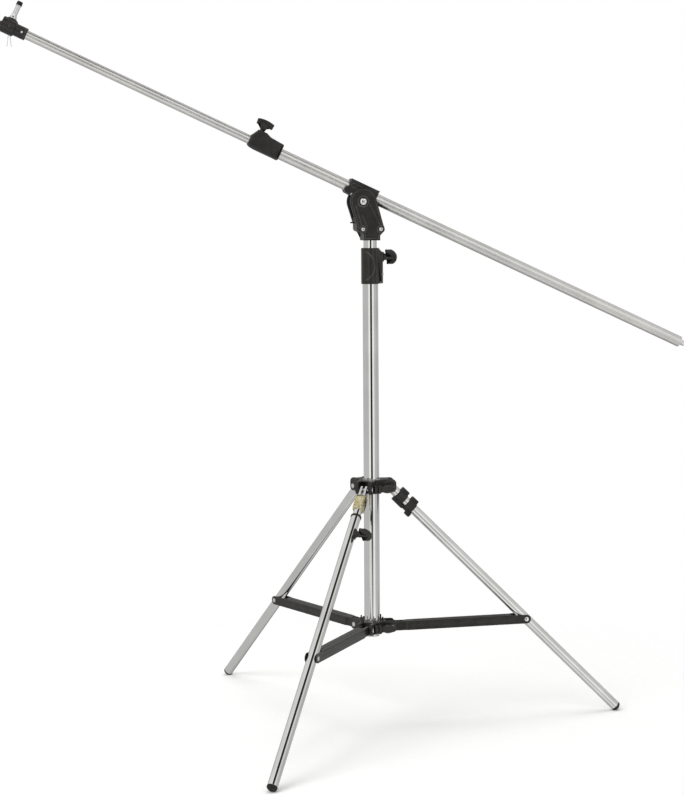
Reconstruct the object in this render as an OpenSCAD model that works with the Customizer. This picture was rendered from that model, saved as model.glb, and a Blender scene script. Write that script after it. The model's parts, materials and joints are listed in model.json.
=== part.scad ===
// Combi boom stand: folding tripod with braces and one levelling leg, telescopic column,
// tilting head and telescopic boom with a spigot. Millimetres, +Z up, +X to the right,
// origin on the column axis at the floor.

/* [Tubes] */
// Outer diameter of the fixed column tube
base_tube_d = 35; // [32:1:36]
// Outer diameter of the rising column tube
riser_d = 30; // [28:1:30]
// Outer diameter of the leg tubes
leg_d = 22; // [20:1:22]
// Outer diameter of the outer boom tube
boom_d = 25; // [24:1:25]
// Outer diameter of the inner boom tube
inner_d = 20; // [18:1:20]
// Wall of every tube
wall = 1.5; // [1.2:0.1:2]

/* [Tripod] */
// Angle of a spread leg from vertical
leg_angle = 45.1; // [44:0.1:46]
// Height of the leg hinges above the floor
hinge_z = 532; // [525:1:540]
// Distance of the leg hinges from the column axis
hinge_r = 43.5; // [43:0.5:46]
// Height of the brace hinges on the lower hub
hub_pin_z = 216; // [212:1:218]
// Distance of the brace hinges from the column axis
hub_pin_r = 43; // [42:0.5:45]
// Distance along a leg from its hinge to the brace rivet
brace_on_leg = 440; // [436:1:444]
// Direction of the right leg, anticlockwise from +X
leg_turn = 9.2; // [0:0.1:20]

/* [Column] */
// Bottom of the column tube
column_foot_z = 201; // [198:1:204]
// Bottom of the riser clamp collar
collar_z = 991; // [990:1:1000]
// Height of the riser clamp collar
collar_h = 81; // [78:1:84]
// Bottom of the tilt head
head_z = 1089; // [1084:1:1095]

/* [Boom] */
// Direction of the boom's low end, anticlockwise from +X
boom_turn = 10; // [0:1:20]
// Slope of the boom below horizontal towards its low end
boom_pitch = 25.1; // [20:0.1:30]
// Height of the tilt pivot
pivot_z = 1176; // [1174:1:1180]
// Offset of the pivot from the column axis and from the boom axis
pivot_off = 19; // [18:0.5:20]
// Low end of the outer boom tube, measured along the boom from the pivot
boom_low = 810; // [700:5:900]
// High end of the outer boom tube, measured along the boom from the pivot
boom_high = -222; // [-240:1:-210]
// High end of the inner boom tube, measured along the boom from the pivot
inner_high = -856; // [-950:1:-600]
// Low end of the inner boom tube, inside the outer one
inner_low = 40; // [0:5:100]

/* [Hidden] */

$fn = 48;
eps = 0.5;             // how far a cutter runs past a face
running = 0.05;        // radial clearance of a running fit
parting = 0.15;        // half the gap between two clamped halves

RIGHT = leg_turn;
REAR = leg_turn + 120;
FRONT = leg_turn + 240;

BLACK = [0.13, 0.12, 0.12];
CHROME = [0.82, 0.82, 0.83];
ZINC = [0.75, 0.76, 0.78];
YELLOW_ZINC = [0.72, 0.66, 0.40];
RUBBER = [0.07, 0.07, 0.07];
NYLON = [0.90, 0.90, 0.86];

leg_len = hinge_z / cos(leg_angle);
brace_dr = hinge_r + brace_on_leg * sin(leg_angle) - hub_pin_r;
brace_dz = hinge_z - brace_on_leg * cos(leg_angle) - hub_pin_z;
brace_len = sqrt(pow(brace_dr, 2) + pow(brace_dz, 2));
brace_rise = atan2(brace_dz, brace_dr);

pin_r = 3;             // every pivot pin and rivet
pin_head_r = 5;
pin_head_h = 1.6;
yoke_gap = 23;         // between the two ears of a yoke
yoke_w = 38;           // over the two ears
yoke_r = 54;           // reach of a yoke from the column axis
casting_r = 27.5;      // body of the spider and of the hub
spider_down = 11;      // from a pin down to the casting's lower face
spider_h = 30;
hub_down = 12;
hub_h = 26;
clamp_below = 1;       // the clamp screws lie this far below the pins
clamp_turn = -70;      // direction of the split clamp boss
clamp_r = 36;          // distance of the clamp screw from the axis

// ---------- small shared shapes ----------

module bar(r, x0, x1) {
    translate([x0, 0, 0]) rotate([0, 90, 0]) cylinder(r = r, h = x1 - x0);
}

module tube(d, x0, x1) {
    difference() {
        bar(d / 2, x0, x1);
        bar(d / 2 - wall, x0 - eps, x1 + eps);
    }
}

module across(r, y0, y1) {
    translate([0, y1, 0]) rotate([90, 0, 0]) cylinder(r = r, h = y1 - y0);
}

module rounded_rect(x0, x1, y0, y1, r) {
    translate([x0 + r, y0]) square([x1 - x0 - 2 * r, y1 - y0]);
    translate([x0, y0 + r]) square([x1 - x0, y1 - y0 - 2 * r]);
    for (x = [x0 + r, x1 - r], y = [y0 + r, y1 - r])
        translate([x, y]) circle(r = r);
}

// A 2-D outline drawn in the XZ plane, thick from y0 to y1
module plate(y0, y1) {
    translate([0, y1, 0]) rotate([90, 0, 0]) linear_extrude(y1 - y0) children();
}

// A pin with a head at each end, along Y
module headed_pin(r, half) {
    across(r, -half, half);
    for (s = [-1, 1])
        translate([0, s * half, 0]) rotate([-90 * s, 0, 0]) pin_head();
}

module pin_head() {
    neck_r = pin_r - 0.1;
    seat = 0.03;
    rotate_extrude() polygon([
        [0, -0.5], [neck_r, -0.5], [neck_r, seat], [pin_head_r, seat],
        [pin_head_r, pin_head_h * 0.5], [pin_head_r * 0.7, pin_head_h], [0, pin_head_h]
    ]);
}

// Two stub pins, one in each ear, that leave the gap between the ears free
module stub_pins(gap, half) {
    for (s = [-1, 1]) {
        translate([0, s * half, 0]) rotate([-90 * s, 0, 0]) pin_head();
        translate([0, s * (gap + half) / 2, 0])
            across(pin_r, -(half - gap) / 2, (half - gap) / 2);
    }
}

// Local frame of a leg: X runs down the leg from its hinge, Z is its outer side
module on_leg(turn) {
    rotate([0, 0, turn]) translate([hinge_r, 0, hinge_z])
        rotate([0, 90 - leg_angle, 0]) children();
}

// Local frame of a brace: X runs out along the brace from the hub
module on_brace(turn) {
    rotate([0, 0, turn]) translate([hub_pin_r, 0, hub_pin_z])
        rotate([0, -brace_rise, 0]) children();
}

// Head frame: X is the boom's horizontal direction, origin on the column axis
module on_head() {
    rotate([0, 0, boom_turn]) children();
}

// Boom frame: origin on the tilt pivot, X runs down the boom
module on_boom() {
    on_head() translate([-pivot_off, 0, pivot_z]) rotate([0, boom_pitch, 0]) children();
}

module on_boom_axis() {
    on_boom() translate([0, 0, pivot_off]) children();
}

// ---------- column ----------

column_top_z = collar_z + collar_h - 8;

module base_tube() {
    color(CHROME) difference() {
        translate([0, 0, column_foot_z])
            cylinder(d = base_tube_d, h = column_top_z - column_foot_z);
        translate([0, 0, column_foot_z - eps])
            cylinder(d = base_tube_d - 2 * wall, h = column_top_z - column_foot_z + 2 * eps);
        rotate([0, 0, knob_turn]) translate([0, 0, knob_z]) bar(4 + running, 5, base_tube_d);
    }
}

module tube_plug() {
    plug_h = 22;
    color(ZINC) {
        translate([0, 0, column_foot_z])
            cylinder(r = base_tube_d / 2 - wall - running, h = plug_h);
        translate([0, 0, column_foot_z - 6.5]) cylinder(r = 15.4, h = 6.5);
        translate([0, 0, column_foot_z - 6.5]) cylinder(r = 16.4, h = 2);
    }
}

collar_wall_r = 20.5;
knob_z = collar_z + 61;
knob_turn = -8;
screw_z = collar_z + 22;

module riser_collar() {
    boss_reach = 28;
    color(BLACK) difference() {
        union() {
            translate([0, 0, collar_z]) rotate_extrude() polygon([
                [0, 0], [collar_wall_r - 1.5, 0], [collar_wall_r, 2], [collar_wall_r, collar_h - 2],
                [collar_wall_r - 2, collar_h], [0, collar_h]
            ]);
            rotate([0, 0, knob_turn]) plate(-13, 13) translate([0, collar_z])
                collar_boss_outline(boss_reach);
            rotate([0, 0, knob_turn]) translate([0, 0, knob_z]) bar(11, 10, boss_reach + 3);
            translate([0, 0, collar_z]) collar_arc_rib();
        }
        translate([0, 0, collar_z - eps])
            cylinder(r = base_tube_d / 2 + running, h = column_top_z - collar_z + eps);
        translate([0, 0, collar_z])
            cylinder(r = riser_d / 2 + 2 * running, h = collar_h + eps);
        rotate([0, 0, knob_turn]) translate([0, 0, knob_z]) bar(4 + running, 10, boss_reach + 4);
        rotate([0, 0, knob_turn]) translate([0, 0, screw_z]) bar(2.5 + running, 20, boss_reach + 1);
    }
}

module collar_boss_outline(reach) {
    polygon([
        [0, 1], [reach - 2, 1], [reach, 3], [reach, 66], [reach - 3, 72], [reach - 9, collar_h - 2],
        [0, collar_h - 2]
    ]);
}

// Raised curved rib on the front of the collar, part of a wide shallow arc
module collar_arc_rib() {
    rib_r = 42;
    intersection() {
        translate([0, 0, 8]) difference() {
            cylinder(r = collar_wall_r + 1, h = collar_h - 16);
            translate([0, 0, -eps]) cylinder(r = collar_wall_r - 1, h = collar_h);
        }
        translate([-30, 0, collar_h / 2]) rotate([90, 0, 0]) difference() {
            cylinder(r = rib_r, h = 40);
            translate([0, 0, -eps]) cylinder(r = rib_r - 2.5, h = 41);
        }
    }
}

module riser_collar_screw() {
    color(ZINC) rotate([0, 0, knob_turn]) translate([0, 0, screw_z]) {
        bar(2.5, 20.5, 28.5);
        bar(4, 28, 30);
    }
}

// Brake shoe that the knob's stud presses on the riser through a window in the column tube
module riser_brake_pad() {
    color(NYLON) rotate([0, 0, knob_turn]) translate([0, 0, knob_z])
        bar(3.9, riser_d / 2 + 0.3, base_tube_d / 2 + 2.7);
}

// ---------- castings that carry the legs and the braces ----------

module casting(pin_at, pin_z, down, casting_h, bore_r) {
    z0 = pin_z - down;
    difference() {
        union() {
            translate([0, 0, z0]) cylinder(r = casting_r, h = casting_h);
            translate([0, 0, z0 + casting_h - 4]) cylinder(r = casting_r + 1.2, h = 4);
            for (turn = [RIGHT, REAR, FRONT]) rotate([0, 0, turn]) {
                for (s = [-1, 1]) translate([0, s * (yoke_w + yoke_gap) / 4, 0])
                    plate(-(yoke_w - yoke_gap) / 4, (yoke_w - yoke_gap) / 4)
                        rounded_rect(14, yoke_r, z0, z0 + casting_h, 9);
            }
            rotate([0, 0, clamp_turn]) clamp_boss(pin_z - clamp_below);
        }
        translate([0, 0, z0 - eps]) cylinder(r = bore_r, h = casting_h + 2 * eps);
        for (turn = [RIGHT, REAR, FRONT]) rotate([0, 0, turn])
            translate([casting_r + 0.8, -yoke_gap / 2, z0 - eps])
                cube([yoke_r, yoke_gap, casting_h + 2 * eps]);
        for (turn = [RIGHT, REAR, FRONT]) rotate([0, 0, turn])
            translate([pin_at, 0, pin_z]) across(pin_r, -yoke_w, yoke_w);
        rotate([0, 0, clamp_turn]) {
            translate([0, -1, z0 - eps]) cube([clamp_r + 14, 2, casting_h + 2 * eps]);
            translate([clamp_r, 0, pin_z - clamp_below]) across(3 + running, -14, 14);
        }
    }
}

module clamp_boss(z) {
    for (s = [-1, 1]) translate([0, s * 4.6, 0])
        plate(-3.6, 3.6) rounded_rect(16, clamp_r + 9, z - 9.5, z + 9.5, 7);
    for (s = [-1, 1]) translate([0, s * 4.6, 0])
        plate(-4.6, 4.6) rounded_rect(20, clamp_r + 3, z - 7, z + 7, 5);
}

// Leaf-shaped lock knob on a tangential clamp screw
module leaf_knob(pin_z) {
    rotate([0, 0, clamp_turn]) translate([clamp_r, 0, pin_z - clamp_below]) {
        across(3, -8, 14);
        across(6.5, 9.6, 17);
        translate([0, 12, 0]) rotate([0, 90, 0]) translate([0, 0, -3.6])
            linear_extrude(7.2) leaf_outline();
        across(5, 14, 26);
    }
}

module leaf_outline() {
    polygon([
        [-5, 0], [-7.8, 7], [-8.3, 14], [-7.5, 21], [-5.4, 28], [-3, 32.5], [0, 34],
        [3, 32.5], [5.4, 28], [7.5, 21], [8.3, 14], [7.8, 7], [5, 0]
    ]);
}

module lower_hub() {
    color(BLACK) {
        casting(hub_pin_r, hub_pin_z, hub_down, hub_h, base_tube_d / 2 + running);
        hub_nibs();
    }
}

// Short upright prongs between the yokes
module hub_nibs() {
    nib_h = 11;
    for (turn = [RIGHT, REAR, FRONT], s = [-1, 1])
        rotate([0, 0, turn + s * 34])
            translate([casting_r - 3, -1.5, hub_pin_z - hub_down + hub_h - 1])
                cube([3, 3, nib_h]);
}

module hub_pins() {
    color(ZINC) for (turn = [RIGHT, REAR, FRONT]) rotate([0, 0, turn])
        translate([hub_pin_r, 0, hub_pin_z]) headed_pin(pin_r, yoke_w / 2);
}

module hub_lock_knob() {
    color(BLACK) leaf_knob(hub_pin_z);
}

spider_bush_wall = 1.4;

module spider_collar() {
    bore_r = base_tube_d / 2 + spider_bush_wall + 0.1;
    color(BLACK) casting(hinge_r, hinge_z, spider_down, spider_h, bore_r);
}

module spider_bush() {
    z0 = hinge_z - spider_down;
    color(NYLON) difference() {
        translate([0, 0, z0]) cylinder(r = base_tube_d / 2 + spider_bush_wall, h = spider_h);
        translate([0, 0, z0 - eps])
            cylinder(r = base_tube_d / 2 + running, h = spider_h + 2 * eps);
    }
}

module spider_pins() {
    color(ZINC) for (turn = [RIGHT, REAR, FRONT]) rotate([0, 0, turn])
        translate([hinge_r, 0, hinge_z]) stub_pins(yoke_gap / 2, yoke_w / 2);
}

module spider_lock_knob() {
    color(BLACK) leaf_knob(hinge_z);
}

// ---------- braces ----------

brace_h = 20;
brace_t = 2;
brace_gap = leg_d + 1.2;
brace_w = brace_gap + 2 * brace_t;
neck_w = yoke_gap - 0.8;
neck_len = 34;
web_stop = 31;         // the web ends this far short of the leg rivet

module brace() {
    ear_r = brace_h / 2;
    difference() {
        union() {
            for (s = [-1, 1]) {
                translate([0, s * (neck_w - brace_t) / 2, 0]) plate(-brace_t / 2, brace_t / 2) {
                    circle(r = ear_r);
                    translate([0, -ear_r]) square([neck_len + 6, brace_h]);
                }
                translate([0, s * (brace_w - brace_t) / 2, 0]) plate(-brace_t / 2, brace_t / 2) {
                    translate([brace_len, 0]) circle(r = ear_r);
                    translate([neck_len, -ear_r]) square([brace_len - neck_len, brace_h]);
                }
                translate([0, s * (brace_w / 2 + 0.4), 0]) plate(-0.6, 0.6)
                    translate([neck_len + 12, -1.2]) square([brace_len - neck_len - 40, 2.4]);
            }
            translate([8, -neck_w / 2, ear_r - brace_t]) cube([neck_len, neck_w, brace_t]);
            translate([neck_len, -brace_w / 2, ear_r - brace_t])
                cube([brace_len - neck_len - web_stop, brace_w, brace_t]);
            translate([neck_len, -brace_w / 2, -ear_r]) cube([brace_t, brace_w, brace_h]);
        }
        translate([neck_len - eps, -neck_w / 2 + brace_t, -ear_r - eps])
            cube([brace_t + 2 * eps, neck_w - 2 * brace_t, brace_h - brace_t + eps]);
        across(pin_r + running, -brace_w, brace_w);
        translate([brace_len, 0, 0]) across(pin_r, -brace_w, brace_w);
    }
}

module right_brace() {
    color(BLACK) on_brace(RIGHT) brace();
}

module rear_brace() {
    color(BLACK) on_brace(REAR) brace();
}

module front_brace() {
    color(BLACK) on_brace(FRONT) brace();
}

module right_brace_rivet() {
    color(ZINC) on_brace(RIGHT) translate([brace_len, 0, 0]) headed_pin(pin_r, brace_w / 2);
}

module rear_brace_rivet() {
    color(ZINC) on_brace(REAR) translate([brace_len, 0, 0]) headed_pin(pin_r, brace_w / 2);
}

module front_brace_rivets() {
    color(ZINC) on_brace(FRONT) translate([brace_len, 0, 0])
        stub_pins(brace_gap / 2, brace_w / 2);
}

// ---------- plain legs ----------

leg_top = -8;          // the tube starts this far above its hinge
tube_stop = 15;        // the tube ends this far short of the floor point
foot_dome_r = 13.1;    // radius of the domed rubber tip
foot_flat = 0.3;       // how much of the dome is worn flat where it stands

module leg_tube(turn) {
    color(CHROME) on_leg(turn) difference() {
        tube(leg_d, leg_top, leg_len - tube_stop);
        across(pin_r + 0.4, -leg_d, leg_d);
        translate([brace_on_leg, 0, 0]) across(pin_r + running, -leg_d, leg_d);
    }
}

module leg_plug(turn) {
    plug_r = leg_d / 2 - wall - running;
    color(BLACK) on_leg(turn) {
        difference() {
            union() {
                bar(plug_r, leg_top, leg_top + 34);
                bar(leg_d / 2, leg_top - 2, leg_top);
            }
            across(pin_r + 0.4, -leg_d, leg_d);
        }
        across(pin_r + 0.3, -yoke_gap / 2 + 0.4, yoke_gap / 2 - 0.4);
    }
}

// Rubber plug in the end of a leg tube, domed, with a small flat where it stands on the floor
module foot(turn) {
    plug_r = leg_d / 2 - wall - running;
    end_x = leg_len - tube_stop;
    dome_x = leg_len - (foot_dome_r - foot_flat) / cos(leg_angle);
    color(RUBBER) intersection() {
        on_leg(turn) {
            bar(plug_r, end_x - 24, end_x + 1);
            intersection() {
                translate([dome_x, 0, 0]) sphere(r = foot_dome_r);
                bar(leg_d / 2, end_x, leg_len + 5);
            }
        }
        translate([-1000, -1000, 0]) cube([2000, 2000, 100]);
    }
}

module right_leg_tube() { leg_tube(RIGHT); }
module right_leg_plug() { leg_plug(RIGHT); }
module right_foot() { foot(RIGHT); }
module rear_leg_tube() { leg_tube(REAR); }
module rear_leg_plug() { leg_plug(REAR); }
module rear_foot() { foot(REAR); }
module front_foot() { foot(FRONT); }

// Double spring clip: two open bands on the leg joined by a bridge on the column side
module leg_clip() {
    band_r = leg_d / 2 + 3;
    color(BLACK) on_leg(RIGHT) difference() {
        union() {
            for (x = [[21, 44], [52, 73]]) {
                bar(band_r, x[0], x[1]);
                translate([x[0] + 1, -8, band_r - 3]) cube([x[1] - x[0] - 3, 16, 9]);
            }
            translate([22, -9, -band_r - 5]) cube([30, 18, 8]);
            translate([40, -7, -band_r - 3]) cube([26, 14, 6]);
            translate([64, -6, -band_r - 8]) cube([14, 12, 11]);
        }
        bar(leg_d / 2 + 0.02, 15, 90);
    }
}

// ---------- levelling leg ----------

level_inner_d = leg_d - 2 * wall - 0.1;
level_tube_top = 75;
level_block_x = [20, 58];
level_inner_end = 330;
level_knob_x = 121;

module level_fork() {
    color(ZINC) on_leg(FRONT) {
        for (s = [-1, 1]) translate([0, s * 5.4, 0]) plate(-3, 3)
            rounded_rect(-9, level_block_x[0] + 9, -8, 8, 7);
        across(pin_r + 0.3, -yoke_gap / 2 + 0.4, yoke_gap / 2 - 0.4);
    }
}

module level_block() {
    color(YELLOW_ZINC) on_leg(FRONT) difference() {
        union() {
            translate([level_block_x[0], -11.2, -11.5])
                cube([level_block_x[1] - level_block_x[0], 22.4, 23]);
            bar(13, level_block_x[1] - 5, level_block_x[1]);
        }
        for (s = [-1, 1]) translate([0, s * 5.4, 0]) plate(-3.02, 3.02)
            rounded_rect(-10, level_block_x[0] + 9.02, -8.02, 8.02, 7);
        bar(level_inner_d / 2 + 0.02, level_block_x[1] - 12, level_block_x[1] + eps);
        translate([level_block_x[0] + 11, -14, -5]) cube([6, 8, 10]);
        translate([level_block_x[0] + 11, 6, -5]) cube([6, 8, 10]);
    }
}

module level_inner_tube() {
    color(CHROME) on_leg(FRONT)
        tube(level_inner_d, level_block_x[1] - 12, level_inner_end);
}

module level_outer_tube() {
    color(CHROME) on_leg(FRONT) difference() {
        tube(leg_d, level_tube_top, leg_len - tube_stop);
        translate([level_knob_x, 0, 0]) across(3.2, 5, leg_d);
    }
}

module level_rim() {
    color(BLACK) on_leg(FRONT) difference() {
        bar(leg_d / 2 + 1.2, level_tube_top - 2, level_tube_top + 3);
        bar(leg_d / 2 + 0.02, level_tube_top, level_tube_top + 3 + eps);
        bar(level_inner_d / 2 + running, level_tube_top - 3, level_tube_top + 1);
    }
}

module level_saddle() {
    color(BLACK) on_leg(FRONT) translate([level_knob_x, 0, 0]) difference() {
        union() {
            bar(leg_d / 2 + 3, -10, 10);
            across(8.5, 0, 19);
        }
        bar(leg_d / 2 + 0.02, -11, 11);
        across(3 + running, 8, 20);
    }
}

module level_knob() {
    color(BLACK) on_leg(FRONT) translate([level_knob_x, 19.3, 0]) rotate([-90, 0, 0])
        rotate([0, 0, 90]) wing_knob(19, 29, 4.2, 3, 9.6);
}

// Wing knob on +Z with a domed back: half span, height, half thickness, stud radius and length
module wing_knob(span, height, half_t, stud_r, stud_l) {
    stem_r = span * 0.38;
    wing_t = height * 0.42;
    rise = height * 0.38;
    dome_r = (pow(span, 2) + pow(rise, 2)) / (2 * rise);
    cylinder(r = stem_r, h = height * 0.72);
    translate([0, 0, -stud_l]) cylinder(r = stud_r, h = stud_l + 1);
    plate(-half_t, half_t) intersection() {
        difference() {
            translate([0, height - dome_r]) circle(r = dome_r, $fn = 96);
            translate([0, height - wing_t - dome_r]) circle(r = dome_r, $fn = 96);
        }
        translate([-span, height * 0.12]) square([2 * span, height * 0.88]);
    }
}

// ---------- riser ----------

riser_top_z = head_z + 35;
riser_foot_z = column_foot_z + 30;
riser_bush_h = 40;

module riser_guide_bush() {
    color(NYLON) translate([0, 0, riser_foot_z]) difference() {
        cylinder(r = base_tube_d / 2 - wall - running, h = riser_bush_h);
        translate([0, 0, 4])
            cylinder(r = riser_d / 2 - 0.95, h = riser_bush_h);
        translate([0, 0, -eps]) cylinder(r = riser_d / 2 - 4, h = riser_bush_h);
    }
}

// The riser's lower end is turned down a little where the guide bush sits on it
module riser_tube() {
    color(CHROME) difference() {
        union() {
            translate([0, 0, riser_foot_z + riser_bush_h + 0.2])
                cylinder(d = riser_d, h = riser_top_z - riser_foot_z - riser_bush_h - 0.2);
            translate([0, 0, riser_foot_z + 4.1])
                cylinder(d = riser_d - 2, h = riser_bush_h);
        }
        translate([0, 0, riser_foot_z])
            cylinder(d = riser_d - 2 * wall - 1, h = riser_top_z - riser_foot_z + eps);
    }
}

module riser_lock_knob() {
    color(BLACK) rotate([0, 0, knob_turn]) translate([31.5, 0, knob_z]) rotate([0, 90, 0])
        rotate([0, 0, 20]) difference() {
            wing_knob(21, 29, 4.5, 5, 0);
            translate([0, 0, -eps]) cylinder(r = 4.02, h = 12);
        }
}

module riser_lock_stud() {
    color(ZINC) rotate([0, 0, knob_turn]) translate([0, 0, knob_z])
        bar(4, base_tube_d / 2 + 3, 31.5 + 11);
}

// ---------- tilt head: two halves bolted round the riser ----------

half_depth = 27;
cheek_in = 18;
head_r = 30;
pivot = [-pivot_off, pivot_z];
bolt_z = head_z + 25;
bolt_u = 20.3;

// Point where a line from p touches a circle; side is +1 or -1
function touch(c, r, p, side) =
    let (d = norm(p - c), a = atan2(p[1] - c[1], p[0] - c[0]) + side * acos(r / d))
    c + r * [cos(a), sin(a)];

module head_outline(inset) {
    low_right = [28 - inset, head_z + 28];
    low_left = [-34.7 + inset, head_z + 36];
    union() {
        translate(pivot) circle(r = head_r - inset, $fn = 96);
        polygon([
            [-18.7 + inset, head_z + inset], [18.7 - inset, head_z + inset],
            [18.7 - inset, head_z + 11], [28 - inset, head_z + 21], low_right,
            touch(pivot, head_r - inset, low_right, 1), pivot,
            touch(pivot, head_r - inset, low_left, -1), low_left,
            [-34.7 + inset, head_z + 25], [-31 + inset, head_z + 20.5],
            [-22 + inset, head_z + 18.5], [-18.7 + inset, head_z + 13]
        ]);
    }
}

module head_block_outline() {
    polygon([
        [-18.7, head_z], [18.7, head_z], [18.7, head_z + 11], [28, head_z + 21],
        [28, head_z + 32], [2, head_z + 52], [-34.7, head_z + 54], [-34.7, head_z + 25],
        [-31, head_z + 20.5], [-22, head_z + 18.5], [-18.7, head_z + 13]
    ]);
}

// One half of the head; side is -1 for the front half and 1 for the rear half
module head_half(side) {
    y0 = side > 0 ? parting : -half_depth;
    y1 = side > 0 ? half_depth : -parting;
    c0 = side > 0 ? cheek_in : -half_depth;
    c1 = side > 0 ? half_depth : -cheek_in;
    r0 = side > 0 ? half_depth - 1.2 : -half_depth - eps;
    difference() {
        union() {
            plate(c0, c1) head_outline(0);
            plate(y0, y1) head_block_outline();
        }
        plate(r0, r0 + 1.2 + eps) difference() {
            head_outline(4.5);
            translate([-bolt_u, bolt_z]) circle(r = 8.5);
            translate([bolt_u, bolt_z]) circle(r = 8.5);
            translate(pivot) circle(r = 12.5);
        }
        translate([0, 0, head_z - eps]) cylinder(r = riser_d / 2 + running, h = 36 + eps);
        translate([-pivot_off, 0, pivot_z]) {
            across(5 + running, -half_depth - 1, half_depth + 1);
            translate([0, -half_depth - 1, 0]) across(9, 0, 4);
        }
        for (u = [-bolt_u, bolt_u]) translate([u, 0, bolt_z])
            across(2.5 + running, -half_depth - 1, half_depth + 1);
        if (side > 0)
            translate([0, catch_y, catch_z]) bar(1.8 + running, -38, -17.5);
    }
}

catch_y = 8;
catch_z = head_z + 40;

module head_front() {
    color(BLACK) on_head() head_half(-1);
}

module head_rear() {
    color(BLACK) on_head() head_half(1);
}

module head_bolts() {
    color(ZINC) on_head() for (u = [-bolt_u, bolt_u]) translate([u, 0, bolt_z]) {
        across(2.5, -half_depth, half_depth);
        across(4.6, -half_depth - 2.6, -half_depth);
        translate([0, half_depth + 3.4, 0]) rotate([90, 0, 0]) cylinder(r = 4.8, h = 3.4, $fn = 6);
    }
}

module tilt_bolt() {
    color(ZINC) on_head() translate([-pivot_off, 0, pivot_z]) difference() {
        union() {
            across(5, -half_depth + 3, half_depth + 16);
            across(8, -half_depth - 1.5, -half_depth + 3);
        }
        for (a = [0, 90]) translate([0, -half_depth - 2, 0]) rotate([0, a, 0])
            translate([-5, 0, -0.9]) cube([10, 2, 1.8]);
    }
}

// Spring plunger that catches the boom clamp when the boom stands upright
module catch_pin() {
    color(BLACK) on_head() translate([0, catch_y, catch_z]) bar(1.8, -43.5, -24);
}

module tilt_handle() {
    color(BLACK) on_head() translate([-pivot_off, half_depth + 1.5, pivot_z])
        rotate([-90, 0, 0]) rotate([0, 0, 35]) difference() {
            wing_knob(24, 30, 5, 6, 0);
            translate([0, 0, -eps]) cylinder(r = 5 + running, h = 15.5);
        }
}

// ---------- boom clamp ----------

clamp_hw = 17.5;
clamp_lo = -43;
clamp_hi = 25;

module boom_clamp_half(side) {
    y0 = side > 0 ? 2 * parting : -clamp_hw;
    y1 = side > 0 ? clamp_hw : -2 * parting;
    difference() {
        union() {
            plate(y0, y1) circle(r = 17);
            plate(y0, y1) polygon([
                [clamp_lo, 22], [clamp_lo, pivot_off + 17.8], [clamp_hi, pivot_off + 17.8],
                [clamp_hi + 1, pivot_off + 6], [clamp_hi - 2, 4], [6, 1], [-30, 1.5],
                [clamp_lo - 2, 2.5], [clamp_lo - 7, 8], [clamp_lo - 6, 15], [clamp_lo, 19]
            ]);
        }
        translate([0, 0, pivot_off]) bar(boom_d / 2 + running, clamp_lo - 20, clamp_hi + 20);
        across(5 + 2 * running, -20, 20);
        translate([-30, 0, 4.2]) across(2 + running, -20, 20);
    }
}

module boom_clamp_front() {
    color(BLACK) on_boom() boom_clamp_half(-1);
}

module boom_clamp_rear() {
    color(BLACK) on_boom() boom_clamp_half(1);
}

module boom_clamp_screw() {
    color(ZINC) on_boom() translate([-30, 0, 4.2]) {
        across(2, -clamp_hw, clamp_hw);
        across(2.6, -clamp_hw - 0.2, -clamp_hw + 0.01);
    }
}

// ---------- boom ----------

joint_x = [-288, -212];
joint_knob_x = -269;

module boom_outer_tube() {
    color(CHROME) on_boom_axis() tube(boom_d, boom_high, boom_low);
}

module boom_collar() {
    color(BLACK) on_boom_axis() difference() {
        union() {
            translate([joint_x[0], 0, 0]) rotate([0, 90, 0]) rotate_extrude() polygon([
                [0, 0], [12, 0], [13.5, 2], [17.2, 9], [18.5, 20], [18.5, 72], [17, 76], [0, 76]
            ]);
            translate([joint_knob_x, 0, 0]) cylinder(r = 9.5, h = 29);
            translate([joint_knob_x - 9.5, -9.5, 10]) cube([44, 19, 9]);
        }
        bar(boom_d / 2 + 0.02, boom_high, joint_x[1] + eps);
        bar(inner_d / 2 + 2 * running, joint_x[0] - eps, boom_high + eps);
        translate([joint_knob_x, 0, inner_d / 2]) cylinder(r = 4 + running, h = 30);
        translate([joint_x[1] - 16, 0, 0]) across(2 + running, -19, -12.6);
    }
}

module boom_collar_screw() {
    color(ZINC) on_boom_axis() translate([joint_x[1] - 16, 0, 0]) {
        across(2, -18.6, -boom_d / 2 - 0.1);
        across(3.4, -20.2, -18.55);
    }
}

module boom_lock_knob() {
    color(BLACK) on_boom_axis() translate([joint_knob_x, 0, 29.5]) difference() {
        union() {
            cylinder(r = 7.5, h = 16);
            plate(-6, 6) difference() {
                rounded_rect(-20, 20, 13, 28, 6);
                translate([0, -16]) circle(r = 30);
            }
        }
        translate([0, 0, -eps]) cylinder(r = 4.02, h = 10);
    }
}

module boom_lock_stud() {
    color(ZINC) on_boom_axis() translate([joint_knob_x, 0, inner_d / 2 + 0.3])
        cylinder(r = 4, h = 28);
}

module boom_end_cap() {
    color(BLACK) on_boom_axis() {
        bar(boom_d / 2 - wall - running, boom_low - 16, boom_low);
        bar(boom_d / 2, boom_low, boom_low + 3);
        bar(6, boom_low + 3, boom_low + 12);
        translate([boom_low + 12, 0, 0]) rotate([0, 90, 0]) rotate_extrude() polygon([
            [0, 0], [6, 0], [5.6, 1.6], [4.2, 3], [0, 3.6]
        ]);
    }
}

bush_x = [inner_low, inner_low + 30];

module boom_inner_bush() {
    color(NYLON) on_boom_axis() difference() {
        bar(boom_d / 2 - wall - running, bush_x[0] - 26, bush_x[1] - 26);
        bar(inner_d / 2 - 0.95, bush_x[0] - 27, bush_x[1] - 29);
    }
}

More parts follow.
